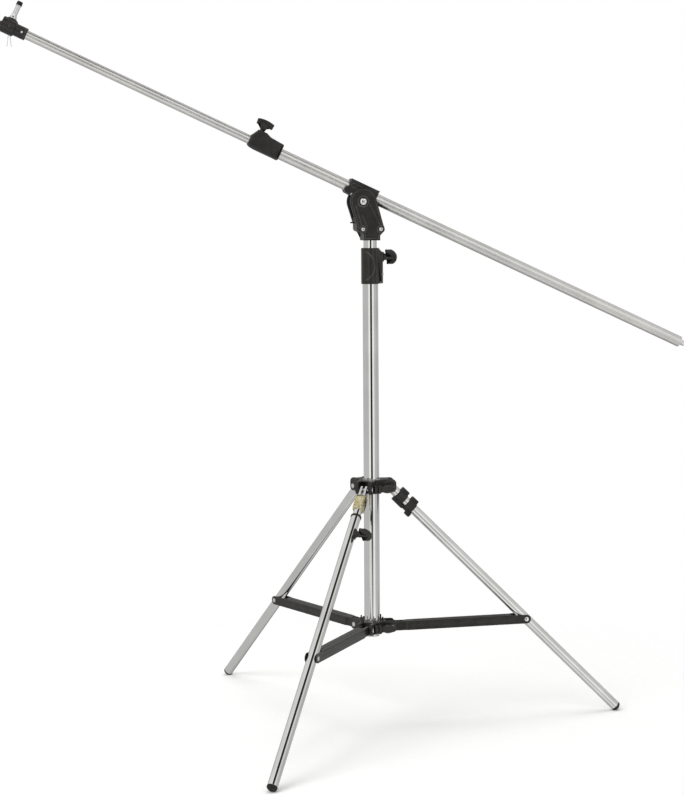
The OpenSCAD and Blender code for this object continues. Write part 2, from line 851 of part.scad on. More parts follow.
module boom_inner_tube() {
    color(CHROME) on_boom_axis() difference() {
        union() {
            bar(inner_d / 2, inner_high, bush_x[0] - 26.2);
            bar(inner_d / 2 - 1, inner_high, bush_x[1] - 29.2);
        }
        bar(inner_d / 2 - wall - 0.5, inner_high - eps, bush_x[1]);
    }
}

// ---------- end fitting ----------

socket_x = [-882.5, -853.5, -827.5];
spigot_x = (socket_x[0] + socket_x[1]) / 2;
socket_r = 16.5;
spigot_r = 8;

module spigot_socket() {
    color(BLACK) on_boom_axis() difference() {
        union() {
            translate([socket_x[0], 0, 0]) rotate([0, 90, 0]) rotate_extrude() polygon([
                [0, 0], [socket_r - 1.5, 0], [socket_r, 1.5], [socket_r, 27.5],
                [socket_r - 1.5, 29], [13.5, 29], [13.5, 54], [12.5, 55], [0, 55]
            ]);
            bar(5, socket_x[0] - 4, socket_x[0] + 1);
        }
        bar(inner_d / 2 + 0.02, inner_high, socket_x[2] + eps);
        translate([spigot_x, 0, 0]) cylinder(r = 6.02, h = 30);
        translate([socket_x[1] + 12, 0, 0]) across(2 + running, -15, -inner_d / 2 - 0.1);
        translate([spigot_x, 0, 0]) across(1.1, -20, 20);
    }
}

module spigot() {
    color(ZINC) on_boom_axis() translate([spigot_x, 0, 0]) difference() {
        union() {
            cylinder(r = 6, h = socket_r + 2);
            translate([0, 0, socket_r + 0.1]) rotate_extrude() polygon([
                [0, 0], [spigot_r, 0], [spigot_r, 8], [6, 10], [6, 16], [spigot_r, 18],
                [spigot_r, 32], [7, 33], [0, 33]
            ]);
        }
        across(1.1, -20, 20);
    }
}

module spigot_cap() {
    color(RUBBER) on_boom_axis() translate([spigot_x, 0, socket_r + 33.1]) {
        cylinder(r = 6.6, h = 9);
        cylinder(r = 7, h = 1.5);
    }
}

module socket_screw() {
    color(ZINC) on_boom_axis() translate([socket_x[1] + 12, 0, 0]) {
        across(2, -13.6, -inner_d / 2 - 0.2);
        across(3.2, -15, -13.55);
    }
}

// Hairpin of round wire through the socket, with two hanging legs
module retaining_clip() {
    wire_r = 0.8;
    drop = 42;
    color(ZINC) on_boom_axis() translate([spigot_x, 0, 0]) {
        across(wire_r, -18.5, 18.5);
        for (s = [-1, 1]) translate([0, s * 18.5, 0]) {
            sphere(r = wire_r, $fn = 24);
            rotate([0, -boom_pitch, 0]) rotate([0, 180, 0]) cylinder(r = wire_r, h = drop);
        }
    }
}

base_tube();
tube_plug();
riser_collar();
riser_collar_screw();
riser_brake_pad();
lower_hub();
hub_pins();
hub_lock_knob();
spider_collar();
spider_bush();
spider_pins();
spider_lock_knob();
right_brace();
right_brace_rivet();
rear_brace();
rear_brace_rivet();
front_brace();
front_brace_rivets();
right_leg_tube();
right_leg_plug();
right_foot();
leg_clip();
rear_leg_tube();
rear_leg_plug();
rear_foot();
level_fork();
level_block();
level_inner_tube();
level_outer_tube();
level_rim();
level_saddle();
front_foot();
level_knob();
riser_guide_bush();
riser_tube();
riser_lock_knob();
riser_lock_stud();
head_front();
head_rear();
head_bolts();
tilt_bolt();
catch_pin();
tilt_handle();
boom_clamp_front();
boom_clamp_rear();
boom_clamp_screw();
boom_outer_tube();
boom_collar();
boom_collar_screw();
boom_end_cap();
boom_lock_knob();
boom_lock_stud();
boom_inner_bush();
boom_inner_tube();
spigot_socket();
spigot();
spigot_cap();
socket_screw();
retaining_clip();
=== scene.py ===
import json
from math import acos, asin, atan2, cos, degrees, pi, radians, sin, tan

import bmesh
import bpy
from mathutils import Matrix, Vector


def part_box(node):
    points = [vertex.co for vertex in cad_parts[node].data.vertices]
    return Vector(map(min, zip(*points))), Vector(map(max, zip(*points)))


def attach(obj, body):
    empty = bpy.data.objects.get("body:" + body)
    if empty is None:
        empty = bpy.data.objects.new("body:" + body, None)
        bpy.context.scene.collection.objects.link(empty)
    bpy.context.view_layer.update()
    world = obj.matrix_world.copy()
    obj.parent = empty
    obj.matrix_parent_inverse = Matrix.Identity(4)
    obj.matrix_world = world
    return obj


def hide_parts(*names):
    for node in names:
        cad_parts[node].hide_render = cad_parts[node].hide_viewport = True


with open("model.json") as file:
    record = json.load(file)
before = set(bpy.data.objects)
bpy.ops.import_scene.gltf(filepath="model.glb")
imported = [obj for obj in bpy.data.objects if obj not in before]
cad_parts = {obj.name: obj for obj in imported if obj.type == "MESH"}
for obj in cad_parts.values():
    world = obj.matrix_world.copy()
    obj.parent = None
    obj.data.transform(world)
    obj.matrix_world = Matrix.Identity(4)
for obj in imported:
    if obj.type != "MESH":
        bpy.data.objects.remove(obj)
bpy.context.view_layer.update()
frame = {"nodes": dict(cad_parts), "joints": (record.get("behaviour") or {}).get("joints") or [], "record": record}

MM = 0.001
JOINTS = {j["name"]: j for j in frame["joints"]}
BODY_OF = {n: b for b, ns in frame["record"]["behaviour"]["bodies"].items() for n in ns}
SLOT_OF = {s["node"]: s["material_slot"] for s in frame["record"]["subparts"]}


# ---------- local frames, in millimetres ----------

def place(origin, x_axis, y_axis):
    """A local frame in millimetres; its origin and its X and Y axes are given in the row frame."""
    x = Vector(x_axis).normalized()
    y = Vector(y_axis).normalized()
    turn = Matrix((x, y, x.cross(y))).transposed().to_4x4()
    return Matrix.Translation(origin) @ turn @ Matrix.Scale(MM, 4)


def local_box(node, where):
    """Lowest and highest corner of a CAD node in a local frame, in millimetres."""
    back = where.inverted()
    points = [back @ v.co for v in frame["nodes"][node].data.vertices]
    low = Vector([min(p[i] for p in points) for i in range(3)])
    high = Vector([max(p[i] for p in points) for i in range(3)])
    return low, high


def joint_point(name):
    return Vector(JOINTS[name]["pos_m"])


def joint_axis(name):
    return Vector(JOINTS[name]["axis"]).normalized()


STAND = place((0, 0, 0), (1, 0, 0), (0, 1, 0))
LEG_SLOPE = acos(joint_axis("leg_levelling").z)
HINGE_Z = sum(corner.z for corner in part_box("spider_pins")) / 2
HUB_Z = joint_point("right_brace_hinge").z


def leg_turn(side):
    hinge = joint_point(f"{side}_brace_hinge")
    return atan2(hinge.y, hinge.x)


def leg_place(side):
    """X runs down the leg from its spider hinge, Z is the leg's outer side."""
    turn = leg_turn(side)
    rivet = joint_point(f"{side}_leg_hinge")
    out = sin(LEG_SLOPE)
    down = Vector((out * cos(turn), out * sin(turn), -cos(LEG_SLOPE)))
    origin = rivet - down * ((HINGE_Z - rivet.z) / cos(LEG_SLOPE))
    return place(origin, down, (-sin(turn), cos(turn), 0))


def brace_place(side):
    """X runs out along the brace from the hub."""
    turn = leg_turn(side)
    hub, rivet = joint_point(f"{side}_brace_hinge"), joint_point(f"{side}_leg_hinge")
    return place(hub, rivet - hub, (-sin(turn), cos(turn), 0))


LEG = {side: leg_place(side) for side in ("right", "rear", "front")}
BRACE = {side: brace_place(side) for side in LEG}
HEAD = place((0, 0, 0), joint_axis("catch_pin_press"), joint_axis("boom_tilt"))
CLAMP = place(joint_point("boom_tilt"), joint_axis("boom_slide"), joint_axis("boom_tilt"))
BOOM_RISE = sum(corner.z for corner in local_box("boom_outer_tube", CLAMP)) / 2
BOOM = CLAMP @ Matrix.Translation((0, 0, BOOM_RISE))
LEG_TUBE = {"right": "right_leg_tube", "rear": "rear_leg_tube", "front": "level_outer_tube"}
TUBE_END = {side: local_box(LEG_TUBE[side], LEG[side])[1].x for side in LEG}
# Radius of the rubber tips, and how deep the floor cuts into them
FOOT_DOME = 13.1
FOOT_FLAT = 0.3
# Degrees round the column to the split of the hub and of the spider
CLAMP_SIDE = -70


# ---------- materials ----------

def add_node(tree, kind, links=None, **settings):
    """A shader node with its settings, its sockets set to values or linked to other sockets."""
    node = tree.nodes.new(kind)
    for key, value in settings.items():
        setattr(node, key, value)
    for socket, value in (links or {}).items():
        if isinstance(value, bpy.types.NodeSocket):
            tree.links.new(value, node.inputs[socket])
        else:
            node.inputs[socket].default_value = value
    return node


class Recipe:
    """A node material round one Principled shader."""

    def __init__(self, name, **sockets):
        self.material = bpy.data.materials.new(name)
        self.material.use_nodes = True
        self.tree = self.material.node_tree
        self.shader = self.tree.nodes["Principled BSDF"]
        self.place = self.add("ShaderNodeTexCoord").outputs["Object"]
        for socket, value in sockets.items():
            self.shader.inputs[socket.replace("_", " ")].default_value = value

    def add(self, kind, links=None, **settings):
        return add_node(self.tree, kind, links, **settings)

    def noise(self, scale, detail=4.0, vector=None):
        links = {"Vector": vector or self.place, "Scale": scale, "Detail": detail}
        return self.add("ShaderNodeTexNoise", links).outputs["Fac"]

    def remap(self, value, low, high, start=0.3, end=0.7):
        links = {"Value": value, "From Min": start, "From Max": end, "To Min": low, "To Max": high}
        return self.add("ShaderNodeMapRange", links).outputs["Result"]

    def blend(self, factor, first, second):
        """A mix of two colours, each a tuple or the output of another node."""
        ends = [c if isinstance(c, bpy.types.NodeSocket) else (*c, 1) for c in (first, second)]
        links = {"Factor": factor, 6: ends[0], 7: ends[1]}
        return self.add("ShaderNodeMix", links, data_type="RGBA").outputs[2]

    def worn_and_highlit_edges(self, patch):
        """1 where the surface turns sharply within a millimetre, broken up by the patches: the mask of edge wear
        and of a painted highlight along the edges.
        """
        soft = self.add("ShaderNodeBevel", {"Radius": 0.0014}, samples=6).outputs["Normal"]
        true = self.add("ShaderNodeNewGeometry").outputs["Normal"]
        facing = self.add("ShaderNodeVectorMath", {0: soft, 1: true}, operation="DOT_PRODUCT")
        edge = self.remap(facing.outputs["Value"], 1.0, 0.0, 0.80, 0.985)
        links = {0: edge, 1: self.remap(patch, 0.55, 1.0)}
        return self.add("ShaderNodeMath", links, operation="MULTIPLY").outputs[0]

    def bump(self, height, strength, distance):
        links = {"Height": height, "Strength": strength, "Distance": distance}
        return self.add("ShaderNodeBump", links).outputs["Normal"]

    def feed(self, **sockets):
        for socket, value in sockets.items():
            self.tree.links.new(value, self.shader.inputs[socket.replace("_", " ")])
        return self.material


def plated_tube(name, where, colour, roughness, streak, lines):
    """Bright plated tube: fine drawing lines along it, faint smudges and specks."""
    metal = Recipe(name, Metallic=1.0)
    turn = where.to_3x3().normalized().inverted().to_euler()
    along = metal.add("ShaderNodeMapping", {"Vector": metal.place, "Rotation": turn, "Scale": (3, 260, 260)})
    drawn = metal.noise(4.0, 5.0, along.outputs["Vector"])
    smudge = metal.noise(14.0, 5.0)
    speck = metal.noise(900.0, 2.0)
    dark = tuple(c * 0.86 for c in colour)
    tint = metal.blend(metal.remap(smudge, 0, 1), dark, colour)
    rough = metal.add("ShaderNodeMath", {0: metal.remap(drawn, roughness * 0.7, roughness * 1.35),
                                         1: metal.remap(smudge, 0.0, streak)}, operation="ADD")
    both = metal.add("ShaderNodeMath", {0: drawn, 1: metal.remap(speck, 0, 0.25)}, operation="ADD")
    return metal.feed(Base_Color=tint, Roughness=rough.outputs[0],
                      Normal=metal.bump(both.outputs[0], lines, 0.00006))


def cast_black(name, colour, roughness, grain, grain_size, wear_and_highlight):
    """Satin black coat on a casting: orange-peel grain, uneven sheen, and edges painted lighter, partly as wear
    and partly as a painted highlight.
    """
    coat = Recipe(name, Specular_IOR_Level=0.34, Coat_Weight=0.06, Coat_Roughness=0.2)
    peel = coat.noise(1000.0 / grain_size, 3.0)
    patch = coat.noise(45.0, 5.0)
    lighter = tuple(c * 1.7 + 0.004 for c in colour)
    base = coat.blend(coat.remap(patch, 0, 1), colour, lighter)
    # Edges painted lighter: part wear, part painted highlight along the edges.
    rubbed_and_highlit = coat.blend(coat.worn_and_highlit_edges(patch), base, wear_and_highlight)
    rough = coat.remap(patch, roughness * 0.86, roughness * 1.16)
    return coat.feed(Base_Color=rubbed_and_highlit, Roughness=rough, Normal=coat.bump(peel, grain, 0.0002))


def mottled(recipe, patches, grain, colours, rough, relief, start=0.3, end=0.7):
    """Colour and roughness that drift between two values from patch to patch, over a fine grain."""
    patch = recipe.noise(*patches)
    tint = recipe.blend(recipe.remap(patch, 0, 1, start, end), *colours)
    normal = recipe.bump(recipe.noise(*grain), *relief)
    return recipe.feed(Base_Color=tint, Roughness=recipe.remap(patch, *rough), Normal=normal)


def zinc(name, colour, roughness):
    """Bright zinc plate with slight clouding."""
    colours = (tuple(c * 0.78 for c in colour), colour)
    rough = (roughness * 0.75, roughness * 1.3)
    return mottled(Recipe(name, Metallic=1.0), (240.0, 4.0), (2600.0, 2.0), colours, rough, (0.03, 0.0001))


def yellow_passivate(name):
    """Yellow chromate over zinc, in patches from straw to green grey."""
    colours = ((0.52, 0.44, 0.20), (0.80, 0.77, 0.56))
    metal = Recipe(name, Metallic=1.0)
    return mottled(metal, (95.0, 5.0), (1800.0, 2.0), colours, (0.24, 0.42), (0.12, 0.0001))


def rubber(name):
    """Matt black rubber with dust in its grain."""
    colours = ((0.012, 0.011, 0.011), (0.045, 0.042, 0.039))
    dust = (130.0, 6.0)
    soft = Recipe(name, Specular_IOR_Level=0.3)
    return mottled(soft, dust, (1500.0, 3.0), colours, (0.62, 0.85), (0.25, 0.0002), 0.45, 0.75)


def nylon(name):
    """Natural nylon: milky, slightly waxy."""
    colours = ((0.66, 0.65, 0.58), (0.80, 0.79, 0.73))
    milky = Recipe(name, Subsurface_Weight=0.15, Subsurface_Scale=0.002)
    return mottled(milky, (300.0, 4.0), (300.0, 4.0), colours, (0.32, 0.5), (0.1, 0.0002))


UPRIGHT = place((0, 0, 0), (0, 0, 1), (0, 1, 0))
CHROME = (0.80, 0.80, 0.79)
SATIN = (0.74, 0.735, 0.72)
BLACK = (0.0105, 0.0095, 0.009)
# Light edge colour of the black castings: wear and a painted highlight.
EDGE_WEAR_AND_HIGHLIGHT = (0.21, 0.20, 0.19)
TUBES = {
    "column": plated_tube("chrome_column", UPRIGHT, CHROME, 0.05, 0.03, 0.012),
    "boom": plated_tube("satin_boom", BOOM, SATIN, 0.27, 0.06, 0.012),
}
for side in LEG:
    TUBES[side] = plated_tube(f"chrome_{side}_leg", LEG[side], CHROME, 0.045, 0.03, 0.012)
SLOTS = {
    "chrome_tube": TUBES["column"],
    "satin_tube": TUBES["boom"],
    "black_casting": cast_black("black_casting", BLACK, 0.32, 0.12, 0.6, EDGE_WEAR_AND_HIGHLIGHT),
    # The last colour of each black coat paints its edges lighter: wear and a painted highlight.
    "black_plastic": cast_black("black_plastic", BLACK, 0.42, 0.2, 0.35, (0.07, 0.066, 0.062)),
    "black_knob": cast_black("black_knob", (0.013, 0.012, 0.0115), 0.32, 0.12, 0.45, (0.09, 0.085, 0.08)),
    "black_steel": cast_black("black_steel", (0.011, 0.01, 0.0095), 0.28, 0.08, 0.8, (0.10, 0.095, 0.09)),
    "zinc": zinc("bright_zinc", (0.84, 0.845, 0.85), 0.17),
    "yellow_zinc": yellow_passivate("yellow_passivated"),
    "rubber": rubber("black_rubber"),
    "nylon": nylon("natural_nylon"),
}


def dress(obj, material):
    obj.data.materials.clear()
    obj.data.materials.append(material)


for node, obj in frame["nodes"].items():
    dress(obj, SLOTS[SLOT_OF[node]])
for side in ("right", "rear"):
    dress(frame["nodes"][f"{side}_leg_tube"], TUBES[side])
for node in ("level_outer_tube", "level_inner_tube"):
    dress(frame["nodes"][node], TUBES["front"])


# ---------- mesh toolkit, in millimetres: a shape is (points, faces) ----------

def arc(centre, radius, start, end, steps):
    turns = [radians(start + (end - start) * i / steps) for i in range(steps + 1)]
    return [(centre[0] + radius * cos(a), centre[1] + radius * sin(a)) for a in turns]


def rounded(points, radius, steps=4):
    """A closed outline with its corners turned into arcs; radius is one number, or one per corner."""
    radii = radius if hasattr(radius, "__len__") else [radius] * len(points)
    out = []
    for i, size in enumerate(radii):
        corner = Vector(points[i])
        back = Vector(points[i - 1]) - corner
        ahead = Vector(points[(i + 1) % len(points)]) - corner
        angle = back.angle(ahead)
        if size <= 0 or angle > radians(175):
            out.append(corner)
            continue
        reach = min(size / tan(angle / 2), 0.48 * back.length, 0.48 * ahead.length)
        size = reach * tan(angle / 2)
        back.normalize()
        ahead.normalize()
        middle = corner + (back + ahead).normalized() * (size / sin(angle / 2))
        first, last = corner + back * reach - middle, corner + ahead * reach - middle
        for k in range(steps + 1):
            out.append(middle + first.lerp(last, k / steps).normalized() * size)
    return [(p[0], p[1]) for p in out]


def rectangle(x0, x1, y0, y1, radius, steps=4):
    return rounded([(x0, y0), (x1, y0), (x1, y1), (x0, y1)], radius, steps)


def wound(outline):
    """The outline, anticlockwise."""
    area = sum(a[0] * b[1] - b[0] * a[1] for a, b in zip(outline, outline[1:] + outline[:1]))
    return outline if area > 0 else outline[::-1]


def inset(outline, amount):
    out = []
    for i, here in enumerate(outline):
        first = (Vector(here) - Vector(outline[i - 1])).normalized()
        second = (Vector(outline[(i + 1) % len(outline)]) - Vector(here)).normalized()
        way = Vector((-first.y - second.y, first.x + second.x))
        out.append(tuple(Vector(here) + way * (2 * amount / max(way.length_squared, 0.6))))
    return out


def spread(axis, a, b, along):
    """Outline coordinates a, b and a distance along the axis, as a point."""
    return {"X": (along, a, b), "Y": (a, along, b), "Z": (a, b, along)}[axis]


def loft(rings, capped=True):
    """A skin through rings that have equally many points."""
    count = len(rings[0])
    points = [p for ring in rings for p in ring]
    faces = []
    for k in range(len(rings) - 1 if capped else len(rings)):
        near, far = k * count, (k + 1) % len(rings) * count
        for i in range(count):
            j = (i + 1) % count
            faces.append((near + i, near + j, far + j, far + i))
    if capped:
        faces.append(tuple(range(count))[::-1])
        faces.append(tuple(range(len(points) - count, len(points))))
    return points, faces


def prism(outline, low, high, edge=0.0, steps=3, axis="Y"):
    """An outline pulled along an axis, with both rims rounded by edge."""
    outline = wound(outline)
    sides = []
    for k in range(steps + 1 if edge else 1):
        turn = pi / 2 * k / steps if edge else 0
        sides.append((edge * (1 - sin(turn)), edge * (1 - cos(turn))))
    levels = [(shrink, low + rise) for shrink, rise in sides]
    levels += [(shrink, high - rise) for shrink, rise in sides[::-1]]
    return loft([[spread(axis, a, b, at) for a, b in inset(outline, shrink)] for shrink, at in levels])


def lathe(profile, axis="Z", steps=64, ring=False):
    """A profile of (radius, along) turned round an axis; ring joins its last point to its first."""
    columns = []
    for i in range(steps):
        turn = 2 * pi * i / steps
        columns.append([spread(axis, r * cos(turn), r * sin(turn), h) for r, h in profile])
    points, faces = loft(columns, capped=False)
    if not ring:
        last = len(profile) - 1
        faces = [f for f in faces if f[0] % len(profile) != last]
    return points, faces


def disc(radius, low, high, edge=0.0, axis="Z", steps=48):
    if not edge:
        return lathe([(0, low), (radius, low), (radius, high), (0, high)], axis, steps)
    foot = arc((radius - edge, low + edge), edge, -90, 0, 4)
    head = arc((radius - edge, high - edge), edge, 0, 90, 4)
    return lathe([(0, low)] + foot + head + [(0, high)], axis, steps)


def rod(radius, low, high, axis="Y", steps=32):
    """A plain round bar, for pins and for bores."""
    return disc(radius, low, high, 0, axis, steps)


def pipe(radius, bore, low, high, rim=0.5, axis="X", steps=96):
    outline = rectangle(bore, radius, low, high, rim, 3)
    return lathe(outline, axis, steps, ring=True)


def block(x, y, z, edge=1.0, corner=2.0):
    """A box between pairs of x, y and z, with rounded corners in plan and rounded rims."""
    return prism(rectangle(*x, *z, corner), *y, edge)


def cutter(x, y, z):
    """A box with sharp edges."""
    return block(x, y, z, 0, 0.01)


def polygon(radius, sides):
    """A circle as an outline of this many sides."""
    return arc((0, 0), radius, 0, 360 - 360 / sides, sides - 1)


def slab(side, outline, near, far, edge=0.0, steps=3):
    """A side view pulled from near to far on the front (side -1) or on the rear (side 1)."""
    return prism(outline, *sorted((side * near, side * far)), edge, steps)


def sweep(path, radius, steps=12):
    rings = []
    normal = Vector((0.3, 0.2, 0.9))
    for i, here in enumerate(path):
        ahead = Vector(path[min(i + 1, len(path) - 1)]) - Vector(path[max(i - 1, 0)])
        side = ahead.cross(normal).normalized()
        normal = side.cross(ahead).normalized()
        ring = []
        for k in range(steps):
            turn = 2 * pi * k / steps
            ring.append(tuple(Vector(here) + (side * cos(turn) + normal * sin(turn)) * radius))
        rings.append(ring)
    return loft(rings)


def moved(shape, x=0, y=0, z=0):
    return [(p[0] + x, p[1] + y, p[2] + z) for p in shape[0]], shape[1]


def turned(shape, angle, axis="Z"):
    spin = Matrix.Rotation(radians(angle), 3, axis)
    return [tuple(spin @ Vector(p)) for p in shape[0]], shape[1]


def carried(shape, source, target):
    """A shape given in the source frame, in the target frame."""
    change = target.inverted() @ source
    return [tuple(change @ Vector(p)) for p in shape[0]], shape[1]


def together(*shapes):
    points, faces = [], []
    for shape in shapes:
        faces += [tuple(i + len(points) for i in face) for face in shape[1]]
        points += shape[0]
    return points, faces


def solid(shape, name):
    mesh = bpy.data.meshes.new(name)
    mesh.from_pydata(shape[0], [], shape[1])
    work = bmesh.new()
    work.from_mesh(mesh)
    bmesh.ops.remove_doubles(work, verts=work.verts, dist=0.0005)
    bmesh.ops.dissolve_degenerate(work, edges=work.edges, dist=0.0002)
    bmesh.ops.recalc_face_normals(work, faces=work.faces)
    work.to_mesh(mesh)
    work.free()
    obj = bpy.data.objects.new(name, mesh)
    bpy.context.scene.collection.objects.link(obj)
    return obj


def carve(shape, adds=(), cuts=(), keeps=()):
    """A solid with others added, then cut away, then kept to what lies inside the last ones."""
    base = solid(shape, "carve_base")
    tools = []
    for others, operation in ((adds, "UNION"), (cuts, "DIFFERENCE"), (keeps, "INTERSECT")):
        for other in others:
            tool = solid(other, "carve_tool")
            step = base.modifiers.new("carve", "BOOLEAN")
            step.solver = "MANIFOLD"
            step.operation = operation
            step.object = tool
            tools.append(tool)
    made = bpy.data.meshes.new_from_object(base.evaluated_get(bpy.context.evaluated_depsgraph_get()))
    result = [tuple(v.co) for v in made.vertices], [tuple(p.vertices) for p in made.polygons]
    for obj in [base, *tools]:
        mesh = obj.data
        bpy.data.objects.remove(obj)
        bpy.data.meshes.remove(mesh)
    bpy.data.meshes.remove(made)
    return result


def piece(name, nodes, shape, where, material=None, sharp=32):
    """Puts a finished shape in place of CAD nodes of one body."""
    nodes = [nodes] if isinstance(nodes, str) else nodes
    obj = solid(shape, name)
    mesh = obj.data
    mesh.transform(where)
    work = bmesh.new()
    work.from_mesh(mesh)
    flat = [e for e in work.edges if len(e.link_faces) == 2 and e.calc_face_angle(1) < 0.003]
    bmesh.ops.dissolve_edges(work, edges=flat, use_verts=False)
    bmesh.ops.recalc_face_normals(work, faces=work.faces)
    work.to_mesh(mesh)
    work.free()
    mesh.shade_smooth()
    mesh.set_sharp_from_angle(angle=radians(sharp))
    even = obj.modifiers.new("even_normals", "WEIGHTED_NORMAL")
    even.keep_sharp = True
    mesh.materials.append(material or SLOTS[SLOT_OF[nodes[0]]])
    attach(obj, BODY_OF[nodes[0]])
    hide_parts(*nodes)
    return obj


# ---------- tubes ----------

def tubes():
    """Bright tubes with rolled rims: name, CAD node, frame, material, axis and wall."""
    rows = (("column_pipe", "base_tube", STAND, "column", "Z", 1.5),
            ("riser_pipe", "riser_tube", STAND, "column", "Z", 2.0),
            ("right_leg_pipe", "right_leg_tube", LEG["right"], "right", "X", 1.5),
            ("rear_leg_pipe", "rear_leg_tube", LEG["rear"], "rear", "X", 1.5),
            ("levelling_outer_pipe", "level_outer_tube", LEG["front"], "front", "X", 1.5),
            ("levelling_inner_pipe", "level_inner_tube", LEG["front"], "front", "X", 1.5),
            ("boom_outer_pipe", "boom_outer_tube", BOOM, "boom", "X", 1.5),
            ("boom_inner_pipe", "boom_inner_tube", BOOM, "boom", "X", 2.0))
    for name, node, where, coat, axis, wall in rows:
        low, high = local_box(node, where)
        radius = (high.y - low.y) / 2
        along = (low.x, high.x) if axis == "X" else (low.z, high.z)
        piece(name, node, pipe(radius, radius - wall, *along, 0.45, axis), where, TUBES[coat], 40)


def leg_ends():
    """Domed rubber tips at the floor, plugs with their cross pins at the top."""
    for side, where in LEG.items():
        end = TUBE_END[side]
        centre = (HINGE_Z / MM - FOOT_DOME + FOOT_FLAT) / cos(LEG_SLOPE)
        rim = degrees(asin(10.95 / FOOT_DOME))
        cap = [(r, centre + along) for along, r in arc((0, 0), FOOT_DOME, rim, 0, 10)]
        profile = [(0, end - 23), (8.6, end - 23), (9.3, end - 22), (9.3, end - 0.1), (10.6, end + 0.1),
                   (11.1, end + 0.7), (11.1, cap[0][1] - 0.6), *cap]
        grooves = [pipe(13, 10.6, end + at, end + at + 0.5, 0.1, "X", 64) for at in (1.6, 3.1)]
        below = carried(cutter((-2000, 2000), (-2000, 2000), (-200, 0)), STAND, where)
        tip = carve(lathe(profile, "X"), cuts=[*grooves, below])
        piece(f"{side}_leg_tip", f"{side}_foot", tip, where)
    for side in ("right", "rear"):
        node = f"{side}_leg_plug"
        low, high = local_box(node, LEG[side])
        stem = disc(9.4, low.x + 1, low.x + 36, 0.4, "X")
        button = [(0, low.x), *arc((9.6, low.x + 1.4), 1.4, 270, 360, 4), (11, low.x + 2), (0, low.x + 2)]
        pin = disc(3.2, low.y, high.y, 0.3, "Y", 32)
        piece(f"{side}_leg_head", node, carve(stem, adds=[lathe(button, "X"), pin]), LEG[side])


def levelling_head():
    """Fork, passivated block, rim and saddle of the leg that levels the stand."""
    where = LEG["front"]
    low, high = local_box("level_block", where)
    x0, x1 = low.x, high.x
    prong = rectangle(x0 - 29, x0 + 9, -8, 8, 7.5, 6)
    fork = together(prism(prong, 2.6, 8.2, 0.8), prism(prong, -8.2, -2.6, 0.8))
    pin_low, pin_high = local_box("level_fork", where)
    pin = disc(3.2, pin_low.y, pin_high.y, 0.4, "Y", 32)
    piece("levelling_fork", "level_fork", carve(fork, adds=[pin]), where)

    side_view = [(x0, -8.5), (x0 + 6, -11.4), (x1, -11.4), (x1, 11.4), (x0 + 6, 11.4), (x0, 8.5)]
    body = prism(rounded(side_view, 2.2), -11.2, 11.2, 2.4, 4)
    collar = disc(13, x1 - 5.5, x1, 1.2, "X")
    groove = pipe(20, 11.9, x1 - 8, x1 - 6.4, 0.2, "X", 64)
    slot = rectangle(x0 + 9.5, x0 + 18, -5.2, 5.2, 2.5)
    jaw = inset(wound(prong), -0.1)
    cuts = [prism(slot, -14, -7), prism(slot, 7, 14), prism(jaw, 2.5, 8.3), prism(jaw, -8.3, -2.5)]
    cuts += [groove, rod(9.5, x1 - 12, x1 + 2, "X", 64)]
    piece("levelling_block", "level_block", carve(body, adds=[collar], cuts=cuts), where)

    low, high = local_box("level_rim", where)
    radius = (high.y - low.y) / 2
    rim = [(9.6, low.x), (radius - 0.8, low.x), (radius, low.x + 1.2), (radius, high.x),
           (11.05, high.x), (11.05, low.x + 2), (9.6, low.x + 2)]
    piece("levelling_rim", "level_rim", lathe(rounded(rim, 0.35, 3), "X", ring=True), where)

    low, high = local_box("level_saddle", where)
    middle = (low.x + high.x) / 2
    band = pipe(13.2, 11.03, low.x, high.x, 0.7, "X", 72)
    pad = carve(band, keeps=[block((low.x - 1, high.x + 1), (1.5, 30), (-8.2, 8.2), 0.4, 3)])
    profile = [(0, 9), (8.6, 9), (8.2, 13), (6.6, 16.5), (6.6, high.y), (0, high.y)]
    neck = lathe(rounded(profile, [0, 0, 2, 1.5, 0.8, 0]), "Y", 48)
    cuts = [rod(11.03, low.x - 5, high.x + 5, "X", 72), moved(rod(3.1, 5, 30), middle)]
    piece("levelling_saddle", "level_saddle", carve(pad, adds=[moved(neck, middle)], cuts=cuts), where)
    seat = Matrix.Translation((0, 0, high.y + 0.3))
    knob = knob_place("level_knob_turn", where.to_3x3() @ Vector((0, 0, 1)))
    piece("levelling_knob", "level_knob", wing(19, 29, 4.2, (3, 9.6)), knob @ seat)


# ---------- knobs ----------

def knob_place(joint, wing_way):
    """Z runs out along the knob's screw, X along its wing."""
    axis = joint_axis(joint)
    across = axis.cross(Vector(wing_way)).normalized()
    return place(joint_point(joint), across.cross(axis), across)


def wing(span, height, half, stud=None):
    """A domed crescent on a flared stem, and a stud of some radius and length under it."""
    thick, rise = height * 0.54, height * 0.38
    radius = (span ** 2 + rise ** 2) / (2 * rise)
    opening = degrees(asin(span / radius))
    outer = arc((0, height - radius), radius, 90 + opening, 90 - opening, 28)
    inner = [(x * 0.97, z - thick) for x, z in outer[::-1]]
    blade = prism(soft_ends(outer, inner, min(thick * 0.3, 2.6)), -half, half, min(half * 0.55, 2.4), 4)
    foot, top = span * 0.38, height * 0.74
    profile = [(0, 0), (foot, 0), (foot * 0.92, height * 0.16), (foot * 0.72, height * 0.34),
               (foot * 0.8, top), (0, top)]
    stem = lathe(rounded(profile, [0, 1, 2, 4, 1, 0]), "Z", 48)
    shaft = [disc(stud[0], -stud[1], 1, 0.2, "Z", 32)] if stud else []
    return carve(blade, adds=[stem, *shaft])


def soft_ends(outer, inner, radius):
    """The closed outline of two facing curves, with its four corners rounded."""
    points = outer + inner
    corners = (0, len(outer) - 1, len(outer), len(points) - 1)
    kept, radii = [], []
    for i, point in enumerate(points):
        gap = min((Vector(point) - Vector(points[k])).length for k in corners)
        if i in corners or gap >= radius * 1.4:
            kept.append(point)
            radii.append(radius if i in corners else 0)
    return rounded(kept, radii, 5)


